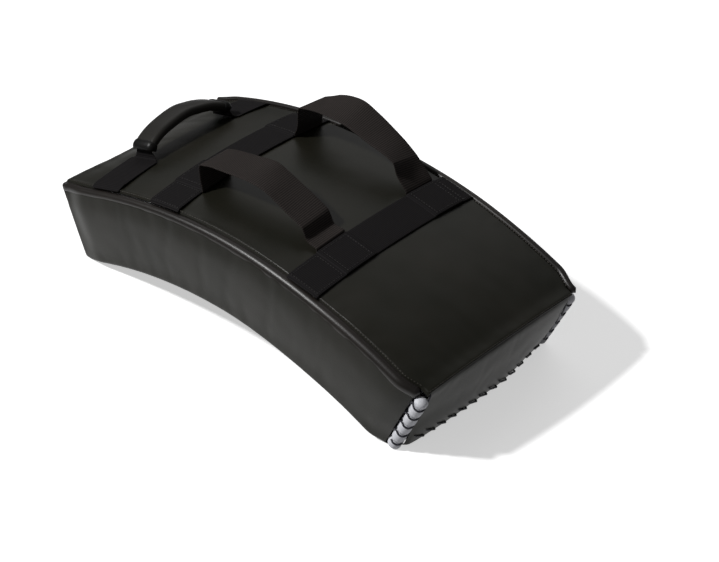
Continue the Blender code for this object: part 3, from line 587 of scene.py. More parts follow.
def rib_tree():
    """Raises the weft ribs of webbing, across its length, by its weave UV."""
    tree, given, close = shape_tree("webbing_ribs", ["Pitch", "Height"])
    weave = node(tree, "GeometryNodeInputNamedAttribute", {"Name": "weave"},
                 data_type="FLOAT_VECTOR")
    parts = node(tree, "ShaderNodeSeparateXYZ", {"Vector": weave.outputs["Attribute"]})
    turns = node(tree, "ShaderNodeMath", {
        0: parts.outputs["Y"], 1: given.outputs["Pitch"]}, operation="DIVIDE")
    angle = node(tree, "ShaderNodeMath", {0: turns.outputs[0], 1: 2 * math.pi},
                 operation="MULTIPLY")
    wave = node(tree, "ShaderNodeMath", {0: angle.outputs[0]}, operation="COSINE")
    height = node(tree, "ShaderNodeMath", {
        0: wave.outputs[0], 1: given.outputs["Height"]}, operation="MULTIPLY")
    normal = node(tree, "GeometryNodeInputNormal")
    offset = node(tree, "ShaderNodeVectorMath", {
        0: normal.outputs[0], "Scale": height.outputs[0]}, operation="SCALE")
    raised = node(tree, "GeometryNodeSetPosition", {
        "Geometry": given.outputs["Geometry"], "Offset": offset.outputs[0]})
    close(raised.outputs[0])
    return tree


def stitch_tree():
    """Lays short rounded stitches at an even pitch along seam lines, flat to the surface that
    each line's outward vectors give."""
    tree, given, close = shape_tree("thread_stitches", ["Pitch", "Length", "Thickness"])
    curve = node(tree, "GeometryNodeMeshToCurve", {"Mesh": given.outputs["Geometry"]})
    even = node(tree, "GeometryNodeResampleCurve", {
        "Curve": curve.outputs[0], "Length": given.outputs["Pitch"]}, mode="LENGTH")
    ball = node(tree, "GeometryNodeMeshUVSphere", {"Segments": 6, "Rings": 4, "Radius": 0.5})
    size = node(tree, "ShaderNodeCombineXYZ", {
        "X": given.outputs["Length"], "Y": given.outputs["Thickness"],
        "Z": given.outputs["Thickness"]})
    along = node(tree, "GeometryNodeInputTangent")
    lay = node(tree, "FunctionNodeAlignRotationToVector", {"Vector": along.outputs[0]}, axis="X")
    outward = node(tree, "GeometryNodeInputNamedAttribute", {"Name": "outward"},
                   data_type="FLOAT_VECTOR")
    flat = node(tree, "FunctionNodeAlignRotationToVector", {
        "Rotation": lay.outputs[0], "Vector": outward.outputs["Attribute"]},
        axis="Z", pivot_axis="X")
    laid = node(tree, "GeometryNodeInstanceOnPoints", {
        "Points": even.outputs[0], "Instance": ball.outputs["Mesh"],
        "Rotation": flat.outputs[0], "Scale": size.outputs[0]})
    close(laid.outputs[0])
    return tree


RIBS, STITCHES = rib_tree(), stitch_tree()


def stitched(name, lines, body, thread):
    """Thread along lines of (point, outward) pairs."""
    mesh = bpy.data.meshes.new(name)
    points, outwards, edges = [], [], []
    for line in lines:
        edges += [(len(points) + i, len(points) + i + 1) for i in range(len(line) - 1)]
        points += [point for point, outward in line]
        outwards += [outward for point, outward in line]
    mesh.from_pydata(points, edges, [])
    layer = mesh.attributes.new("outward", "FLOAT_VECTOR", "POINT")
    layer.data.foreach_set("vector", [c for outward in outwards for c in outward])
    piece = in_view(name, mesh)
    grow(piece, STITCHES, Pitch=SEAM_STITCH_PITCH, Length=SEAM_STITCH_PITCH * STITCH_SHARE,
         Thickness=STITCH_THICKNESS, Finish=thread)
    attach(piece, body)


def round_cap(from_end):
    """The share of a tube's radius, where it is rounded off over a length of 1 from its end."""
    return math.sqrt(max(0.0, 1 - max(0.0, 1 - from_end) ** 2))


def tube_rings(path, radii, sides):
    """Round rings square to a path, carried along it without twisting."""
    directions = tangents(path)
    across = directions[0].orthogonal().normalized()
    rings = []
    for point, direction, radius in zip(path, directions, radii):
        across = (across - across.dot(direction) * direction).normalized()
        beside = direction.cross(across)
        rings.append([
            point + radius * (math.cos(turn) * across + math.sin(turn) * beside)
            for turn in (2 * math.pi * k / sides for k in range(sides))
        ])
    return rings


def tube(name, path, radii, sides, material):
    rings = tube_rings(path, radii, sides)
    along = lengths_along(path)
    places = [[(k, length / MM) for k in range(sides)] for length in along]
    return grid_piece(name, rings, places, material, round_across=True, capped=True)


# Cover panels

# Each panel's surface, from u, across it or down it, and v, along it, both from 0 to 1.


def back_at(u, v):
    arc = -HALF_ARC + 2 * HALF_ARC * v
    return back_point((2 * u - 1) * half_width(arc), arc, 0)


def strike_at(u, v):
    arc = -HALF_ARC + 2 * HALF_ARC * v
    x = (2 * u - 1) * half_width(arc)
    place = block_point(x, arc, lower_depth(arc, 0))
    place.y -= strike_edge_bulge(x) * smooth(HALF_ARC + arc, STRIKE_EDGE_BULGE_LENGTH, 0.0)
    return place


def side_at(side):
    def at(u, v):
        return back_at(side, v).lerp(strike_at(side, v), u)
    return at


def end_at(end):
    arc = end * HALF_ARC

    def at(u, v):
        x = (2 * v - 1) * half_width(arc)
        top, foot = back_at(v, (end + 1) / 2), strike_at(v, (end + 1) / 2)
        own = end_bulge(end, x, u * full_depth(arc))
        if end < 0:
            own -= strike_edge_bulge(x) * u
        return top.lerp(foot, u) + back_tangent(arc) * (end * own)
    return at


def ridge_pride(along):
    """How fat the rolled edge beside the back is: full at the laced end, then less."""
    return 1.0 - RIDGE_LOSS * smooth(along, *RIDGE_LOSS_SPAN)


class Border:
    """How a panel ends at one of its borders, in mm: where it ends, measured from the block's
    edge, the radius of the block's edge there, and the depth and width of its sewn groove."""

    def __init__(self, ends=0.0, rounding=0.0, groove=0.0, groove_width=3.0):
        self.rounding, self.groove, self.groove_width = rounding, groove, groove_width
        self.ends = ends + (1 - math.sqrt(0.5)) * rounding

    def drop(self, distance):
        """How far the panel lies under the block's flat face, at a distance from its edge."""
        drop = 0.0
        if distance < self.rounding:
            r = self.rounding
            drop = r - math.sqrt(max(0.0, r * r - (r - distance) ** 2))
        return drop + self.groove * smooth(distance - self.ends, self.groove_width, 0.0)


class Panel:
    """One panel of the cover. Borders are for u = 0, u = 1, v = 0 and v = 1."""

    def __init__(self, node_name, at, wide_mm, long_mm, outward, borders):
        self.node_name, self.at = node_name, at
        self.wide_mm, self.long_mm, self.outward = wide_mm, long_mm, outward
        self.borders = borders
        self.swell, self.level = None, SWELL_START_MM

    def stations(self, low, high, length):
        """Places across the panel in mm, closer together near its borders."""
        start, end = low.ends, length - high.ends
        near = [start + s for s in SEAM_STATIONS_MM]
        far = [end - s for s in SEAM_STATIONS_MM]
        steps = round((far[-1] - near[-1]) / PANEL_CELL_MM)
        return near + stops(near[-1], far[-1], steps)[1:-1] + far[::-1]

    def swell_at(self, u, v):
        if self.swell is None:
            return SWELL_START_MM * math.sin(math.pi * u) * math.sin(math.pi * v)
        rows, columns = len(self.swell) - 1, len(self.swell[0]) - 1
        i, j = min(int(v * rows), rows - 1), min(int(u * columns), columns - 1)
        a, b = v * rows - i, u * columns - j
        low = self.swell[i][j] * (1 - b) + self.swell[i][j + 1] * b
        high = self.swell[i + 1][j] * (1 - b) + self.swell[i + 1][j + 1] * b
        return low * (1 - a) + high * a

    def piece(self, name, material, detail):
        """The panel's sheet of leather. detail(across, along) in mm is added to its lift."""
        left, right, low, high = self.borders
        across = self.stations(left, right, self.wide_mm)
        along = self.stations(low, high, self.long_mm)
        rows, places = [], []
        for t in along:
            v = t / self.long_mm
            row = []
            for s in across:
                u = s / self.wide_mm
                step = 0.002
                du = self.at(min(u + step, 1), v) - self.at(max(u - step, 0), v)
                dv = self.at(u, min(v + step, 1)) - self.at(u, max(v - step, 0))
                normal = du.cross(dv).normalized() * self.outward
                edges = (s, self.wide_mm - s, t, self.long_mm - t)
                drop = sum(b.drop(d) for b, d in zip(self.borders, edges))
                settled = smooth(min(edges), 0.0, SETTLED_MM)
                lift = self.swell_at(u, v) - self.level * settled - drop
                lift += detail(s, t)
                place = self.at(u, v) + normal * (lift * MM)
                place.z = max(place.z, GAP)
                row.append(place)
            rows.append(row)
            places.append([(s, t) for s in across])
        if self.outward < 0:
            rows = [row[::-1] for row in rows]
            places = [row[::-1] for row in places]
        made = grid_piece(name, rows, places, material)
        add_modifier(made, "SOLIDIFY", thickness=LEATHER_MM * MM, offset=-1.0)
        add_modifier(made, "SUBSURF", levels=1, render_levels=1)
        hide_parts(self.node_name)
        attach(made, "cover")


def seam(rounding, groove=0.8, **settings):
    return Border(rounding=rounding, groove=groove, **settings)


NEAR_BACK_EDGE = Border(ends=9.0, groove=4.2, groove_width=3.4)
FAR_BACK_EDGE = Border(ends=8.4, groove=3.0, groove_width=3.4)
LACED_EDGE = Border(ends=CORNER_OPENING_MM, groove=1.0, groove_width=4.0)
PANELS = {
    "back": Panel("back_panel", back_at, 290, 633, 1, (
        NEAR_BACK_EDGE, FAR_BACK_EDGE, seam(3.0, 1.0), seam(CLOSED_ROUNDING_MM))),
    "strike": Panel("strike_panel", strike_at, 290, 556, -1, (
        seam(5.0), seam(5.0), seam(2.0), seam(5.0))),
    "left_side": Panel("left_side_panel", side_at(0), SIDE_WIDE_MM, SIDE_LONG_MM, -1, (
        seam(SIDE_ROUNDING_MM, 0.0, ends=2.5), seam(5.0),
        Border(ends=CORNER_OPENING_MM - 2.4, groove=1.0, groove_width=4.0),
        seam(CLOSED_ROUNDING_MM))),
    "right_side": Panel("right_side_panel", side_at(1), SIDE_WIDE_MM, SIDE_LONG_MM, 1, (
        seam(SIDE_ROUNDING_MM, 0.0), seam(5.0), LACED_EDGE, seam(CLOSED_ROUNDING_MM))),
    "laced_flap": Panel("lacing_flap", end_at(-1), 112, FLAP_LONG_MM, 1, (
        seam(FLAP_ROUNDING_MM, 0.0, ends=-1.6),
        Border(ends=FLAP_LOWER_EDGE_MM, groove=1.5, groove_width=5.0), LACED_EDGE, LACED_EDGE)),
    "closed_end": Panel("closed_end_panel", end_at(1), 101, 282, -1, (
        seam(CLOSED_ROUNDING_MM), seam(5.0), seam(CLOSED_ROUNDING_MM),
        seam(CLOSED_ROUNDING_MM))),
}


def soft_folds(panel, seed):
    """Shallow waves over a panel, and finer puckers along its sewn borders, in mm."""
    def folds(s, t, kind):
        across, along, strength, shift = kind
        return strength * noise.noise(Vector((s / across, t / along, seed + shift)))

    def at(s, t):
        edge = min(s, panel.wide_mm - s, t, panel.long_mm - t)
        waves = folds(s, t, BROAD_FOLDS) + folds(s, t, FINER_FOLDS)
        puckers = folds(s, t, PUCKERS) * smooth(edge, *PUCKER_REACH_MM)
        waves *= FOLD_DEPTH_MM * smooth(edge, *FOLD_FADE_MM)
        return waves + puckers * smooth(edge, *PUCKER_FADE_MM)
    return at


def side_lean(s, t):
    """The near side's top leans inwards from a full belly to the rolled edge above it."""
    belly = SIDE_BELLY_SHARE * SIDE_LEAN_MM
    for distance, fade in zip((SIDE_WIDE_MM - s, t, SIDE_LONG_MM - t), SIDE_BELLY_FADES_MM):
        belly *= smooth(distance, 0, fade)
    up = max(0.0, 1 - (s - SIDE_LEAN_START_MM) / SIDE_LEAN_LENGTH_MM)
    tucked = SIDE_LEAN_MM * max(0.0, 1 - s / SIDE_LEAN_START_MM) ** SIDE_LEAN_TUCK_POWER
    return belly - SIDE_LEAN_MM * up ** 2 - tucked


def faded_groove(s, t):
    """The back's near groove is full at the laced half, and less deep from there on."""
    edge = NEAR_BACK_EDGE
    groove = edge.groove * smooth(s - edge.ends, 2 * edge.groove_width, 0)
    return GROOVE_LOSS * groove * smooth(t, *GROOVE_LOSS_SPAN_MM)


def flap_shape(s, t):
    """The flap bulges at its near lower corner, and is drawn in at its far one."""
    low = smooth(s, *FLAP_LOW_MM)
    bulge = smooth(t, *FLAP_BULGE_END_MM) * smooth(t, *FLAP_BULGE_START_MM)
    drawn_in = smooth(t, *FLAP_DRAWN_IN_SPAN_MM)
    return low * (FLAP_BULGE_MM * bulge - FLAP_DRAWN_IN_MM * drawn_in)


def swell_panels():
    """Blows the whole cover up as one sewn bag of cloth, held at its seams, and keeps how far
    each panel swells along its normal."""
    found, points, faces, homes = {}, [], [], {}
    for name, panel in PANELS.items():
        columns, rows = CLOTH_COUNTS[panel.wide_mm], CLOTH_COUNTS[panel.long_mm]
        grid = []
        for i in range(rows + 1):
            line = []
            for j in range(columns + 1):
                place = panel.at(j / columns, i / rows)
                key = tuple(round(c * CLOTH_POINTS_PER_METRE) for c in place)
                if key not in found:
                    found[key] = len(points)
                    points.append(place)
                line.append(found[key])
            grid.append(line)
        homes[name] = grid
        for i in range(rows):
            for j in range(columns):
                face = (grid[i][j], grid[i][j + 1], grid[i + 1][j + 1], grid[i + 1][j])
                faces.append(face if panel.outward > 0 else face[::-1])
    mesh = bpy.data.meshes.new("cover_bag")
    mesh.from_pydata(points, [], faces)
    bag = in_view("cover_bag", mesh)
    seams = bag.vertex_groups.new(name="seams")
    for grid in homes.values():
        edge = grid[0] + grid[-1] + [row[0] for row in grid] + [row[-1] for row in grid]
        seams.add(list(set(edge)), 1.0, "REPLACE")
    cloth = bag.modifiers.new("cloth", "CLOTH")
    cloth.settings.quality = CLOTH_QUALITY
    cloth.settings.mass = CLOTH_MASS
    cloth.settings.tension_stiffness = CLOTH_STIFFNESS
    cloth.settings.compression_stiffness = CLOTH_STIFFNESS
    cloth.settings.shear_stiffness = CLOTH_STIFFNESS / 2
    cloth.settings.bending_stiffness = CLOTH_BENDING
    cloth.settings.use_pressure = True
    cloth.settings.uniform_pressure_force = CLOTH_PRESSURE
    cloth.settings.shrink_min = CLOTH_SLACK
    cloth.settings.vertex_group_mass = "seams"
    cloth.settings.effector_weights.gravity = 0.0
    cloth.point_cache.frame_end = CLOTH_FRAMES
    normals = [vertex.normal.copy() for vertex in mesh.vertices]
    for step in range(1, CLOTH_FRAMES + 1):
        bpy.context.scene.frame_set(step)
    settled = bag.evaluated_get(bpy.context.evaluated_depsgraph_get()).data
    swell = [
        SWELL_CAP_MM * math.tanh((after.co - before.co).dot(normal) / MM / SWELL_CAP_MM / 3)
        for after, before, normal in zip(settled.vertices, mesh.vertices, normals)
    ]
    bpy.context.scene.frame_set(1)
    bpy.data.objects.remove(bag)
    for name, grid in homes.items():
        PANELS[name].swell = [[swell[index] for index in row] for row in grid]
        flat = sorted(v for row in PANELS[name].swell for v in row)
        PANELS[name].level = flat[len(flat) // 2]


def cover_panels():
    swell_panels()
    shaped = {"back": faded_groove, "left_side": side_lean, "laced_flap": flap_shape}
    for seed, (name, panel) in enumerate(PANELS.items()):
        folds, own = soft_folds(panel, FOLD_SEED_STEP * seed), shaped.get(name)

        def detail(s, t):
            calm = smooth(s, *SIDE_CALM_MM) if own is side_lean else 1.0
            return folds(s, t) * calm + (own(s, t) if own else 0.0)
        panel.piece(f"{name}_leather", LEATHER_FINISH, detail)


def rolled_edges():
    """The rolled ridge along each side of the back, proudest at the laced end."""
    for name, side in (("left", -1), ("right", 1)):
        radius, inset, deep, from_end = ROLLED_EDGES_MM[name]
        start, end = -HALF_ARC + from_end * MM, HALF_ARC - ROLLED_EDGE_END_GAP
        path, radii = [], []
        for arc in stops(start, end, 150):
            proud = ridge_pride(share(arc))
            cap = round_cap(min(arc - start, end - arc) / ROLLED_EDGE_CAP)
            grown = smooth((arc - start) / ROLLED_EDGE_TAPER)
            full = ROLLED_EDGE_START_SHARE + (1 - ROLLED_EDGE_START_SHARE) * grown
            size = radius * proud * full
            radii.append(max(ROLLED_EDGE_TIP_MM, size * cap) * MM)
            in_from_side = inset - (radius - size)
            depth = deep - (radius - size)
            path.append(block_point(
                side * (half_width(arc) - in_from_side * MM), arc, depth * MM))
        piece = tube(f"{name}_rolled_edge", path, radii, 24, PIPING_FINISH)
        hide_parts(f"{name}_back_welt")
        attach(piece, "cover")


# Laced corners


def corner_rolls():
    """The lining that bulges between the lace turns at the laced end's upright corners."""
    foot = LACED_END_DEPTH - ROLL_FOOT_HEIGHT
    turns = [FIRST_LACE_DEPTH + i * LACE_PITCH for i in range(CORNER_LACE_TURNS)]
    for name, side in (("left", -1), ("right", 1)):
        x = side * (LACED_END_WIDTH / 2 - ROLL_INSET)
        path, radii = [], []
        for depth in stops(ROLL_TOP_DEPTH, foot, 90):
            pinch = sum(math.exp(-((depth - turn) / ROLL_PINCH_WIDTH) ** 2) for turn in turns)
            cap = round_cap(
                min((depth - ROLL_TOP_DEPTH) / ROLL_TOP_CAP, (foot - depth) / ROLL_FOOT_CAP))
            radii.append(max(ROLL_TIP, ROLL_RADIUS * cap - ROLL_PINCH * min(pinch, 1)))
            path.append(end_point(-1, x, depth, ROLL_SETBACKS[name]))
        piece = tube(f"{name}_lining_roll", path, radii, 24, LINING_FINISH)
        for vertex in piece.data.vertices:  # the roll's foot is pressed flat on the floor
            vertex.co.z = max(vertex.co.z, GAP)
        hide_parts(f"{name}_corner_roll")
        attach(piece, "cover")


def edge_roll():
    """The lining that bulges behind the laced strike edge."""
    side = LACED_END_WIDTH / 2 - ROLL_INSET - ROLL_RADIUS - 2 * GAP
    depth = LACED_END_DEPTH - EDGE_ROLL_HEIGHT
    xs = stops(-side, side, 90)
    path = [end_point(-1, x, depth, EDGE_ROLL_INSET - end_bulge(-1, x, depth)) for x in xs]
    turns = [math.cos(2 * math.pi * x / LACE_PITCH) for x in xs]
    radii = [EDGE_ROLL_RADIUS * (1 - EDGE_ROLL_PINCH * turn) for turn in turns]
    piece = tube("strike_edge_lining_roll", path, radii, 16, LINING_FINISH)
    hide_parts("strike_edge_roll")
    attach(piece, "cover")


def corner_laces():
    """Each turn crosses its roll from one leather edge to the other, sags a little, and goes back
    behind the roll to the next pair of holes."""
    over = ROLL_RADIUS - ROLL_PINCH + LACE_RADIUS
    behind = ROLL_RADIUS + LACE_RADIUS
    first, last = LACE_BEHIND_ANGLES[0], LACE_BEHIND_ANGLES[-1]
    for name, side in (("left", -1), ("right", 1)):
        path = []
        for turn in range(CORNER_LACE_TURNS):
            depth = FIRST_LACE_DEPTH + turn * LACE_PITCH
            if turn:
                for angle in LACE_BEHIND_ANGLES:
                    part = (angle - first) / (first - last) - 1
                    path.append((angle, behind, depth + LACE_BEHIND_DROP * part))
            for angle in LACE_OVER_ANGLES[1:-1] if turn else LACE_OVER_ANGLES:
                sag = LACE_SAG * math.cos(math.radians(angle - 45))
                path.append((angle, over, depth + sag))
        points = []
        for angle, reach, depth in path:
            x = LACED_END_WIDTH / 2 - ROLL_INSET + reach * math.cos(math.radians(angle))
            inset = ROLL_SETBACKS[name] - reach * math.sin(math.radians(angle))
            points.append(end_point(-1, side * x, depth, inset))
        line = curve_through(points, 5)
        piece = tube(f"{name}_lace", line, [LACE_RADIUS] * len(line), 8, CORD_FINISH)
        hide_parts(f"{name}_corner_lace")
        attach(piece, "cover")


def edge_lace():
    """The whip lace that joins the flap's lower edge to the strike panel's end: each turn comes
    out of the flap, slants down over the edge, and goes back inside to the next hole."""
    half = (EDGE_LACE_TURNS - 1) / 2 * LACE_PITCH

    def at(x, height, out):
        depth = full_depth(-HALF_ARC) - height
        out += flap_shape(depth / MM, x / MM + FLAP_LONG_MM / 2) * MM
        return end_point(-1, x, depth, -out - end_bulge(-1, x, depth))
    points = []
    for turn in range(EDGE_LACE_TURNS):
        x = -half + turn * LACE_PITCH
        points += [at(x + along, height, out) for along, height, out in WHIP_TURN]
    line = curve_through(points, 4)
    piece = tube("strike_edge_whip_lace", line, [LACE_RADIUS] * len(line), 8, CORD_FINISH)
    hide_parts("strike_edge_lace")
    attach(piece, "cover")


# Webbing


def webbing_section(width, thickness):
    """Points round the webbing's section, as (across, up), with its rounded selvages."""
    w, t = width / 2, thickness / 2
    edge = [(w - inset, t * left) for inset, left in SELVAGE]
    flat = [(x, t) for x in stops(w - SELVAGE_WIDTH, -(w - SELVAGE_WIDTH), 8)]
    top = edge + flat + [(-x, up) for x, up in reversed(edge)]
    return top + [(x, -up) for x, up in reversed(top)]


def webbing_piece(name, width, thickness, total, place, weave):
    """Woven webbing. place(across, up, part) is a point of it, part running along its length
    from 0 to 1."""
    steps = round(total / MM / RIB_PITCH_MM * RIB_SAMPLES)
    section = webbing_section(width, thickness)
    rows = [[place(x, up, i / steps) for x, up in section] for i in range(steps + 1)]
    places = [[(x / MM, total / MM * i / steps) for x, up in section] for i in range(steps + 1)]
    piece = grid_piece(name, rows, places, weave, round_across=True, capped=True)
    grow(piece, RIBS, Pitch=RIB_PITCH_MM, Height=RIB_HEIGHT_MM * MM / 2, Finish=weave)
    return piece


def webbing_strip(name, near, far, thickness, weave):
    """Webbing between two edges, each given by points that the other's stand across from."""
    middle = [(a + b) / 2 for a, b in zip(near, far)]
    fine = 16
    counts = [k / fine for k in range((len(middle) - 1) * fine + 1)]
    lengths = lengths_along([spline_point(middle, count) for count in counts])
    total = lengths[-1]

    def count_at(length):
        i = next(k for k in range(1, len(lengths)) if lengths[k] >= length or k == len(counts) - 1)
        part = (length - lengths[i - 1]) / (lengths[i] - lengths[i - 1])
        return counts[i - 1] + min(1.0, part) / fine
    found = {}

    def place(x, up, part):
        if part not in found:
            count = count_at(part * total)
            low, high = spline_point(near, count), spline_point(far, count)
            step = 0.04
            before = spline_point(middle, max(0.0, count - step))
            after = spline_point(middle, min(len(middle) - 1.0, count + step))
            found[part] = low, high, (after - before).cross(high - low).normalized()
        low, high, normal = found[part]
        return low.lerp(high, x / WEBBING_WIDTH + 0.5) + normal * up
    return webbing_piece(name, WEBBING_WIDTH, thickness, total, place, weave)


def bands():
    """The two strap bands sewn across the back, raised where a strap's tail lies under them."""
    for name, arc in (("upper", UPPER_BAND_ARC), ("lower", LOWER_BAND_ARC)):
        side = half_width(arc) - BAND_END_INSET

        def place(across, up, part):
            x = side * (2 * part - 1)
            raised = sum(
                smooth(abs(x - middle), WEBBING_WIDTH / 2 + BAND_RISE_OUTSIDE,
                       WEBBING_WIDTH / 2 - BAND_RISE_INSIDE)
                for middle in (LEFT_STRAP_X, RIGHT_STRAP_X)
            ) * STRAP_THICKNESS
            tucked = smooth(side - abs(x), BAND_TUCK_LENGTH, 0.0) * BAND_TUCK_DEPTH
            lift = GAP + BAND_THICKNESS / 2 + BAND_CLEARANCE + raised - tucked
            return back_point(x, arc + across, lift + up)
        piece = webbing_piece(f"{name}_band_webbing", WEBBING_WIDTH, BAND_THICKNESS, 2 * side,
                              place, BAND_FINISH)
        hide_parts(f"{name}_strap_band")
        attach(piece, "cover")


class Hinge:
    """The line through two roots' peaks, about which a sewn loop of webbing leans."""

    def __init__(self, first, second, rise):
        self.axis = (second - first).normalized()
        sideways = Vector((1, 0, 0)) if abs(self.axis.x) < 0.5 else back_tangent(HANDLE_BAND_ARC)
        self.up = sideways.cross(self.axis).normalized()
        if self.up.z < 0:
            self.up.negate()
        self.sideways = sideways
        self.first = first + self.up * rise
        self.second = second + self.up * rise


def arm_straps():
    """Each loop of webbing in one length, from one sewn tail over to the other."""
    stand_off = STRAP_THICKNESS / 2 + GAP
    lower = LOWER_BAND_ARC + WEBBING_WIDTH / 2 + stand_off + LOWER_TAIL_SHOWS
    upper = UPPER_BAND_ARC - WEBBING_WIDTH / 2 - stand_off
    lying = GAP + STRAP_THICKNESS / 2
    for side, x, skew, outlines in (
        ("left", LEFT_STRAP_X, LEFT_STRAP_SKEW, LEFT_STRAP_EDGES),
        ("right", RIGHT_STRAP_X, RIGHT_STRAP_SKEW, RIGHT_STRAP_EDGES),
    ):
        hinge = Hinge(back_point(x, lower, 0), back_point(x, upper, 0), STRAP_ROOT_HEIGHT)
        edges = []
        for offset, outline in zip((-WEBBING_WIDTH / 2, WEBBING_WIDTH / 2), outlines):
            def across(arc):
                return x + offset - skew * smooth(arc, lower, upper)
            path = [back_point(across(upper), upper + past, lying + height)
                    for past, height in UPPER_STRAP_END]
            for arc, height in outline:
                slope = smooth(height, LEG_SLOPE_HEIGHT, 0.0) if arc < 0 else 0.0
                path.append(block_point(across(arc), arc - LEG_TO_BAND * slope, -height))
            path += [back_point(across(lower), lower - past, lying + height)
                     for past, height in LOWER_STRAP_END]
            edges.append(path)
        piece = webbing_strip(f"{side}_strap_webbing", *edges, STRAP_THICKNESS, LIT_STRAP_FINISH)
        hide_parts(f"{side}_arm_strap", f"{side}_strap_upper_tail",
                    f"{side}_strap_lower_tail")
        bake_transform(piece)


def rounded_section(width, thickness, corner, per_corner=4):
    """A rectangle with round corners."""
    w, t = width / 2 - corner, thickness / 2 - corner
    section = []
    for quarter, (x, y) in enumerate([(w, t), (-w, t), (-w, -t), (w, -t)]):
        for step in range(per_corner + 1):
            turn = math.pi / 2 * (quarter + step / per_corner)
            section.append((x + corner * math.cos(turn), y + corner * math.sin(turn)))
    return section


def carry_handle():
    """The handle's webbing, its padded grip, and the rolled collar at each end of the grip."""
    lift = 2 * GAP + BAND_THICKNESS
    left = back_point(HANDLE_LEFT_X, HANDLE_BAND_ARC, lift)
    right = back_point(HANDLE_RIGHT_X, HANDLE_BAND_ARC, lift)
    hinge = Hinge(left, right, HANDLE_ROOT_HEIGHT)
    across = hinge.sideways
    rise = hinge.up * ROOT_RISE
    shape = [hinge.first + rise, *[
        block_point(x, HANDLE_BAND_ARC, -height) for x, height in HANDLE_OUTLINE
    ], hinge.second + rise]
    loop = [hinge.first] + curve_through(shape, 8) + [hinge.second]
    lying = GAP + STRAP_THICKNESS / 2 + HANDLE_LIE
    side = half_width(HANDLE_BAND_ARC) - BAND_END_INSET

    def sewn_down(x, direction):
        flat = [back_point(s, HANDLE_BAND_ARC, lying)
                for s in stops(direction * side, x + direction * HANDLE_FOOT_START, 8)]
        flat[0] -= back_normal(HANDLE_BAND_ARC) * HANDLE_TUCK
        foot = back_point(
            x + direction * HANDLE_FOOT_END, HANDLE_BAND_ARC, lying + HANDLE_FOOT_LIFT)
        return [*flat, foot]
    widths = [WEBBING_WIDTH] * 9
    widths += [HANDLE_FOOT_WIDTH, HANDLE_FOOT_WIDTH - HANDLE_FOOT_NARROWING]
    centre = [*sewn_down(HANDLE_LEFT_X, -1), hinge.first, *shape, hinge.second,
              *sewn_down(HANDLE_RIGHT_X, 1)[::-1]]
    widths += [HANDLE_WEBBING_WIDTH] * len(shape) + widths[::-1]
    edges = [[point + across * sign * width / 2 for point, width in zip(centre, widths)]
             for sign in (-1, 1)]
    webbing = webbing_strip("handle_loop_webbing", *edges, STRAP_THICKNESS, BAND_FINISH)
    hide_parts("handle_webbing", "handle_left_tail", "handle_right_tail",
                "handle_left_band", "handle_right_band")
    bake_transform(webbing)

    total = lengths_along(loop)[-1]
    grip_line = resampled(loop, GRIP_START, total - GRIP_END_MARGIN, GRIP_STEPS)

    def sweep(name, line, sizes, node_name, leather):
        rows, places = [], []
        for i, (point, direction) in enumerate(zip(line, tangents(line))):
            up = direction.cross(across).normalized()
            section = rounded_section(*sizes(i / (len(line) - 1)))
            rows.append([point + across * w + up * t for w, t in section])
            places.append([(w / MM, i) for w, t in section])
        piece = grid_piece(name, rows, places, leather, round_across=True, capped=True)
        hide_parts(node_name)
        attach(piece, "handle")

    def grip_sizes(t):
        swell = GRIP_SWELL * math.sin(math.pi * t)
        return GRIP_WIDTH + swell, GRIP_THICKNESS + swell, GRIP_CORNER

    def collar_sizes(t):
        roll = COLLAR_ROLL * math.sin(math.pi * t) - COLLAR_SUNK
        added = 2 * (COLLAR_WALL + GAP) + 2 * roll
        return GRIP_WIDTH + added, GRIP_THICKNESS + added, GRIP_CORNER + added / 2
    sweep("handle_grip_wrap", grip_line, grip_sizes, "handle_grip_sleeve", LIT_GRIP_FINISH)
    collar = round(COLLAR_LENGTH / (total - GRIP_START - GRIP_END_MARGIN) * GRIP_STEPS)
    for name, line in (("left", grip_line[:collar + 1]), ("right", grip_line[-collar - 1:])):
        sweep(f"handle_{name}_cuff", line, collar_sizes, f"handle_{name}_collar", SHADED_CUFF_FINISH)


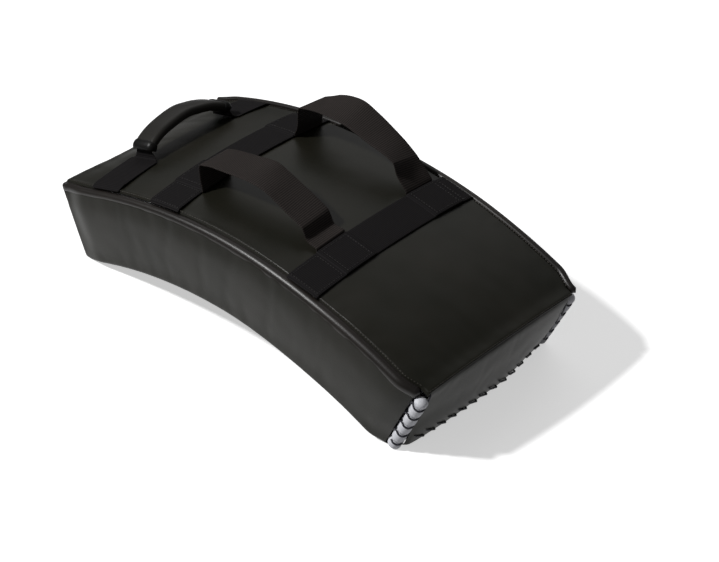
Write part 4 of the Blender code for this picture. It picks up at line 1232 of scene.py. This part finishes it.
def seam_stitches():
    """The rows of thread along the back's edges and in boxes over the bands."""
    lines = []
    start, end = -HALF_ARC + EDGE_ROW_MARGINS[0], HALF_ARC - EDGE_ROW_MARGINS[1]
    for side, border in ((-1, NEAR_BACK_EDGE), (1, FAR_BACK_EDGE)):
        inset = border.ends + EDGE_ROW_INSET_MM
        line = []
        for arc in stops(start, end, 120):
            x = side * (half_width(arc) - inset * MM)
            line.append((back_point(x, arc, -border.drop(inset) * MM), back_normal(arc)))
        lines.append(line)
    laced_border = PANELS["back"].borders[2]
    arc = -HALF_ARC + LACED_ROW_INSET_MM * MM
    reach = half_width(arc) - LACED_ROW_MARGIN
    across = stops(-reach, reach, 50)
    lift = LACED_ROW_LIFT - laced_border.drop(LACED_ROW_INSET_MM) * MM
    lines.append([(back_point(x, arc, lift), back_normal(arc)) for x in across])
    stitched("seam_stitches", lines, "cover", SEAM_THREAD)
    lines = []
    half, next_box = BAND_BOX_HALF, BAND_BOX_NEXT
    for arc in (UPPER_BAND_ARC, LOWER_BAND_ARC):
        side = half_width(arc) - BAND_END_INSET - BAND_BOX_END_GAP
        boxes = (  # from and to across the back, and how thick a strap's tail lies under it
            (-side, LEFT_STRAP_X - next_box, 0.0),
            (LEFT_STRAP_X - half, LEFT_STRAP_X + half, STRAP_THICKNESS),
            (RIGHT_STRAP_X - half, RIGHT_STRAP_X + half, STRAP_THICKNESS),
            (RIGHT_STRAP_X + next_box, side, 0.0),
        )
        for low, high, raised in boxes:
            lift = GAP + BAND_THICKNESS + BAND_ROW_LIFT + raised
            corners = [(low, -half), (high, -half), (high, half), (low, half), (low, -half)]
            ring = []
            for (x, s), (x_next, s_next) in zip(corners, corners[1:]):
                for t in stops(0, 1, 8)[:-1]:
                    place = arc + s + (s_next - s) * t
                    point = back_point(x + (x_next - x) * t, place, lift)
                    ring.append((point, back_normal(place)))
            lines.append(ring + ring[:1])
    stitched("band_stitches", lines, "cover", BAND_THREAD)


def carried_solids():
    """The filling keeps its solids, and takes its real finishes."""
    for name, material in (
        ("liner_bag", LINING_FINISH), ("back_foam", FIRM_FOAM), ("core_foam", CORE_FOAM),
        ("strike_foam", SOFT_FOAM), ("handle_grip_core", SOFT_FOAM),
    ):
        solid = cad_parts[name]
        for place in solid.material_slots:
            place.material = material


# Set: floor, light, camera

CAMERA_PLACE = (-2.235391, -1.963652, 2.340128)
CAMERA_TURN = (52.1769467, -2.4048707, -47.9392962)
LENS, SENSOR = 149.262, 36.0
KEY_TRAVEL = (0.54, -0.45, -0.71)
KEY_STRENGTH, KEY_SOFTNESS = 2.4, 5.0
SKY_BRIGHT_SIDE = (0.60, 0.48, 0.64)
SKY_DARK, SKY_BRIGHT = 0.09, 0.66
SKY_FADE, SKY_FULL = 0.78, 0.99
SEEN_FLOOR_GLOW, MIRRORED_FLOOR_GLOW = 0.53, 0.44
MIRRORED_FLOOR = (0.36, 1.0)  # from and to where the floor fades in the leather's sheen
FADED_FLOOR_GLOW = 0.01
# The floor as it is seen, as it lights the shield, and near and far off in the leather's sheen.
SEEN_FLOOR, LIGHTING_FLOOR, NEAR_FLOOR, FAR_FLOOR = "ffffff", "a0a0a2", "f0f0f0", "303030"
FLOOR_REACH, FLOOR_DROP = 12.0, 0.0002


def set_camera():
    data = bpy.data.cameras.new("view_camera")
    data.lens, data.sensor_width, data.sensor_fit = LENS, SENSOR, "HORIZONTAL"
    data.clip_end = 100
    camera = in_view("view_camera", data)
    camera.location = CAMERA_PLACE
    camera.rotation_euler = [math.radians(turn) for turn in CAMERA_TURN]
    bpy.context.scene.camera = camera


def set_lights():
    data = bpy.data.lights.new("key_light", "SUN")
    data.energy, data.angle = KEY_STRENGTH, math.radians(KEY_SOFTNESS)
    key = in_view("key_light", data)
    key.rotation_euler = Vector(KEY_TRAVEL).to_track_quat("-Z", "Y").to_euler()
    world = bpy.data.worlds.new("studio")
    world.use_nodes = True
    tree = world.node_tree
    ground = tree.nodes["Background"]
    ground.inputs["Color"].default_value = (1, 1, 1, 1)
    ray = node(tree, "ShaderNodeLightPath")
    direction = node(tree, "ShaderNodeTexCoord").outputs["Generated"]
    towards = node(tree, "ShaderNodeVectorMath", {
        0: direction, 1: Vector(SKY_BRIGHT_SIDE).normalized()}, operation="DOT_PRODUCT")
    sky = node(tree, "ShaderNodeMapRange", {
        "Value": towards.outputs["Value"], "From Min": SKY_FADE, "From Max": SKY_FULL,
        "To Min": SKY_DARK, "To Max": SKY_BRIGHT}, interpolation_type="SMOOTHSTEP")
    strength = node(tree, "ShaderNodeMix", {
        "Factor": ray.outputs["Is Camera Ray"], "A": sky.outputs["Result"], "B": 1.0})
    tree.links.new(strength.outputs[0], ground.inputs["Strength"])
    bpy.context.scene.world = world


def set_floor():
    """A pale floor. Seen straight or in a reflection, it is white, with the shield's shadow."""
    material, tree, shader = finish("studio_floor", 0.9)
    ray = node(tree, "ShaderNodeLightPath")
    seen = node(tree, "ShaderNodeMath", {
        0: ray.outputs["Is Camera Ray"], 1: ray.outputs["Is Glossy Ray"]}, operation="MAXIMUM")
    seen = node(tree, "ShaderNodeMath", {
        0: seen.outputs[0], 1: ray.outputs["Is Transmission Ray"]}, operation="MAXIMUM")
    place = node(tree, "ShaderNodeTexCoord").outputs["Object"]
    away = node(tree, "ShaderNodeVectorMath", {0: place}, operation="LENGTH")
    faded = node(tree, "ShaderNodeMapRange", {
        "Value": away.outputs["Value"], "From Min": MIRRORED_FLOOR[0],
        "From Max": MIRRORED_FLOOR[1]})
    far = node(tree, "ShaderNodeMix", {
        "Factor": ray.outputs["Is Camera Ray"], "A": faded.outputs["Result"], "B": 0.0})
    mirrored = node(tree, "ShaderNodeMix", {
        "Factor": far.outputs[0], MIX_A: colour(NEAR_FLOOR), MIX_B: colour(FAR_FLOOR)},
        data_type="RGBA")
    shown = node(tree, "ShaderNodeMix", {
        "Factor": ray.outputs["Is Camera Ray"], MIX_A: mirrored.outputs[MIX_RESULT],
        MIX_B: colour(SEEN_FLOOR)}, data_type="RGBA")
    tone = node(tree, "ShaderNodeMix", {
        "Factor": seen.outputs[0], MIX_A: colour(LIGHTING_FLOOR),
        MIX_B: shown.outputs[MIX_RESULT]}, data_type="RGBA")
    tree.links.new(tone.outputs[MIX_RESULT], shader.inputs["Base Color"])
    shader.inputs["Specular IOR Level"].default_value = 0.0
    shader.inputs["Emission Color"].default_value = (1, 1, 1, 1)
    glow = node(tree, "ShaderNodeMix", {
        "Factor": far.outputs[0], "A": MIRRORED_FLOOR_GLOW, "B": FADED_FLOOR_GLOW})
    glow = node(tree, "ShaderNodeMix", {
        "Factor": ray.outputs["Is Camera Ray"], "A": glow.outputs[0], "B": SEEN_FLOOR_GLOW})
    used = node(tree, "ShaderNodeMath", {
        0: seen.outputs[0], 1: glow.outputs[0]}, operation="MULTIPLY")
    tree.links.new(used.outputs[0], shader.inputs["Emission Strength"])
    mesh = bpy.data.meshes.new("floor")
    signs = ((-1, -1), (1, -1), (1, 1), (-1, 1))
    corners = [(x * FLOOR_REACH, y * FLOOR_REACH, 0) for x, y in signs]
    mesh.from_pydata(corners, [], [(0, 1, 2, 3)])
    mesh.materials.append(material)
    floor = in_view("floor", mesh)
    floor.location.z = -FLOOR_DROP


set_camera()
cover_panels()
rolled_edges()
corner_rolls()
edge_roll()
corner_laces()
edge_lace()
bands()
arm_straps()
carry_handle()
seam_stitches()
carried_solids()
set_lights()
set_floor()
bpy.context.scene.view_settings.view_transform = "Standard"
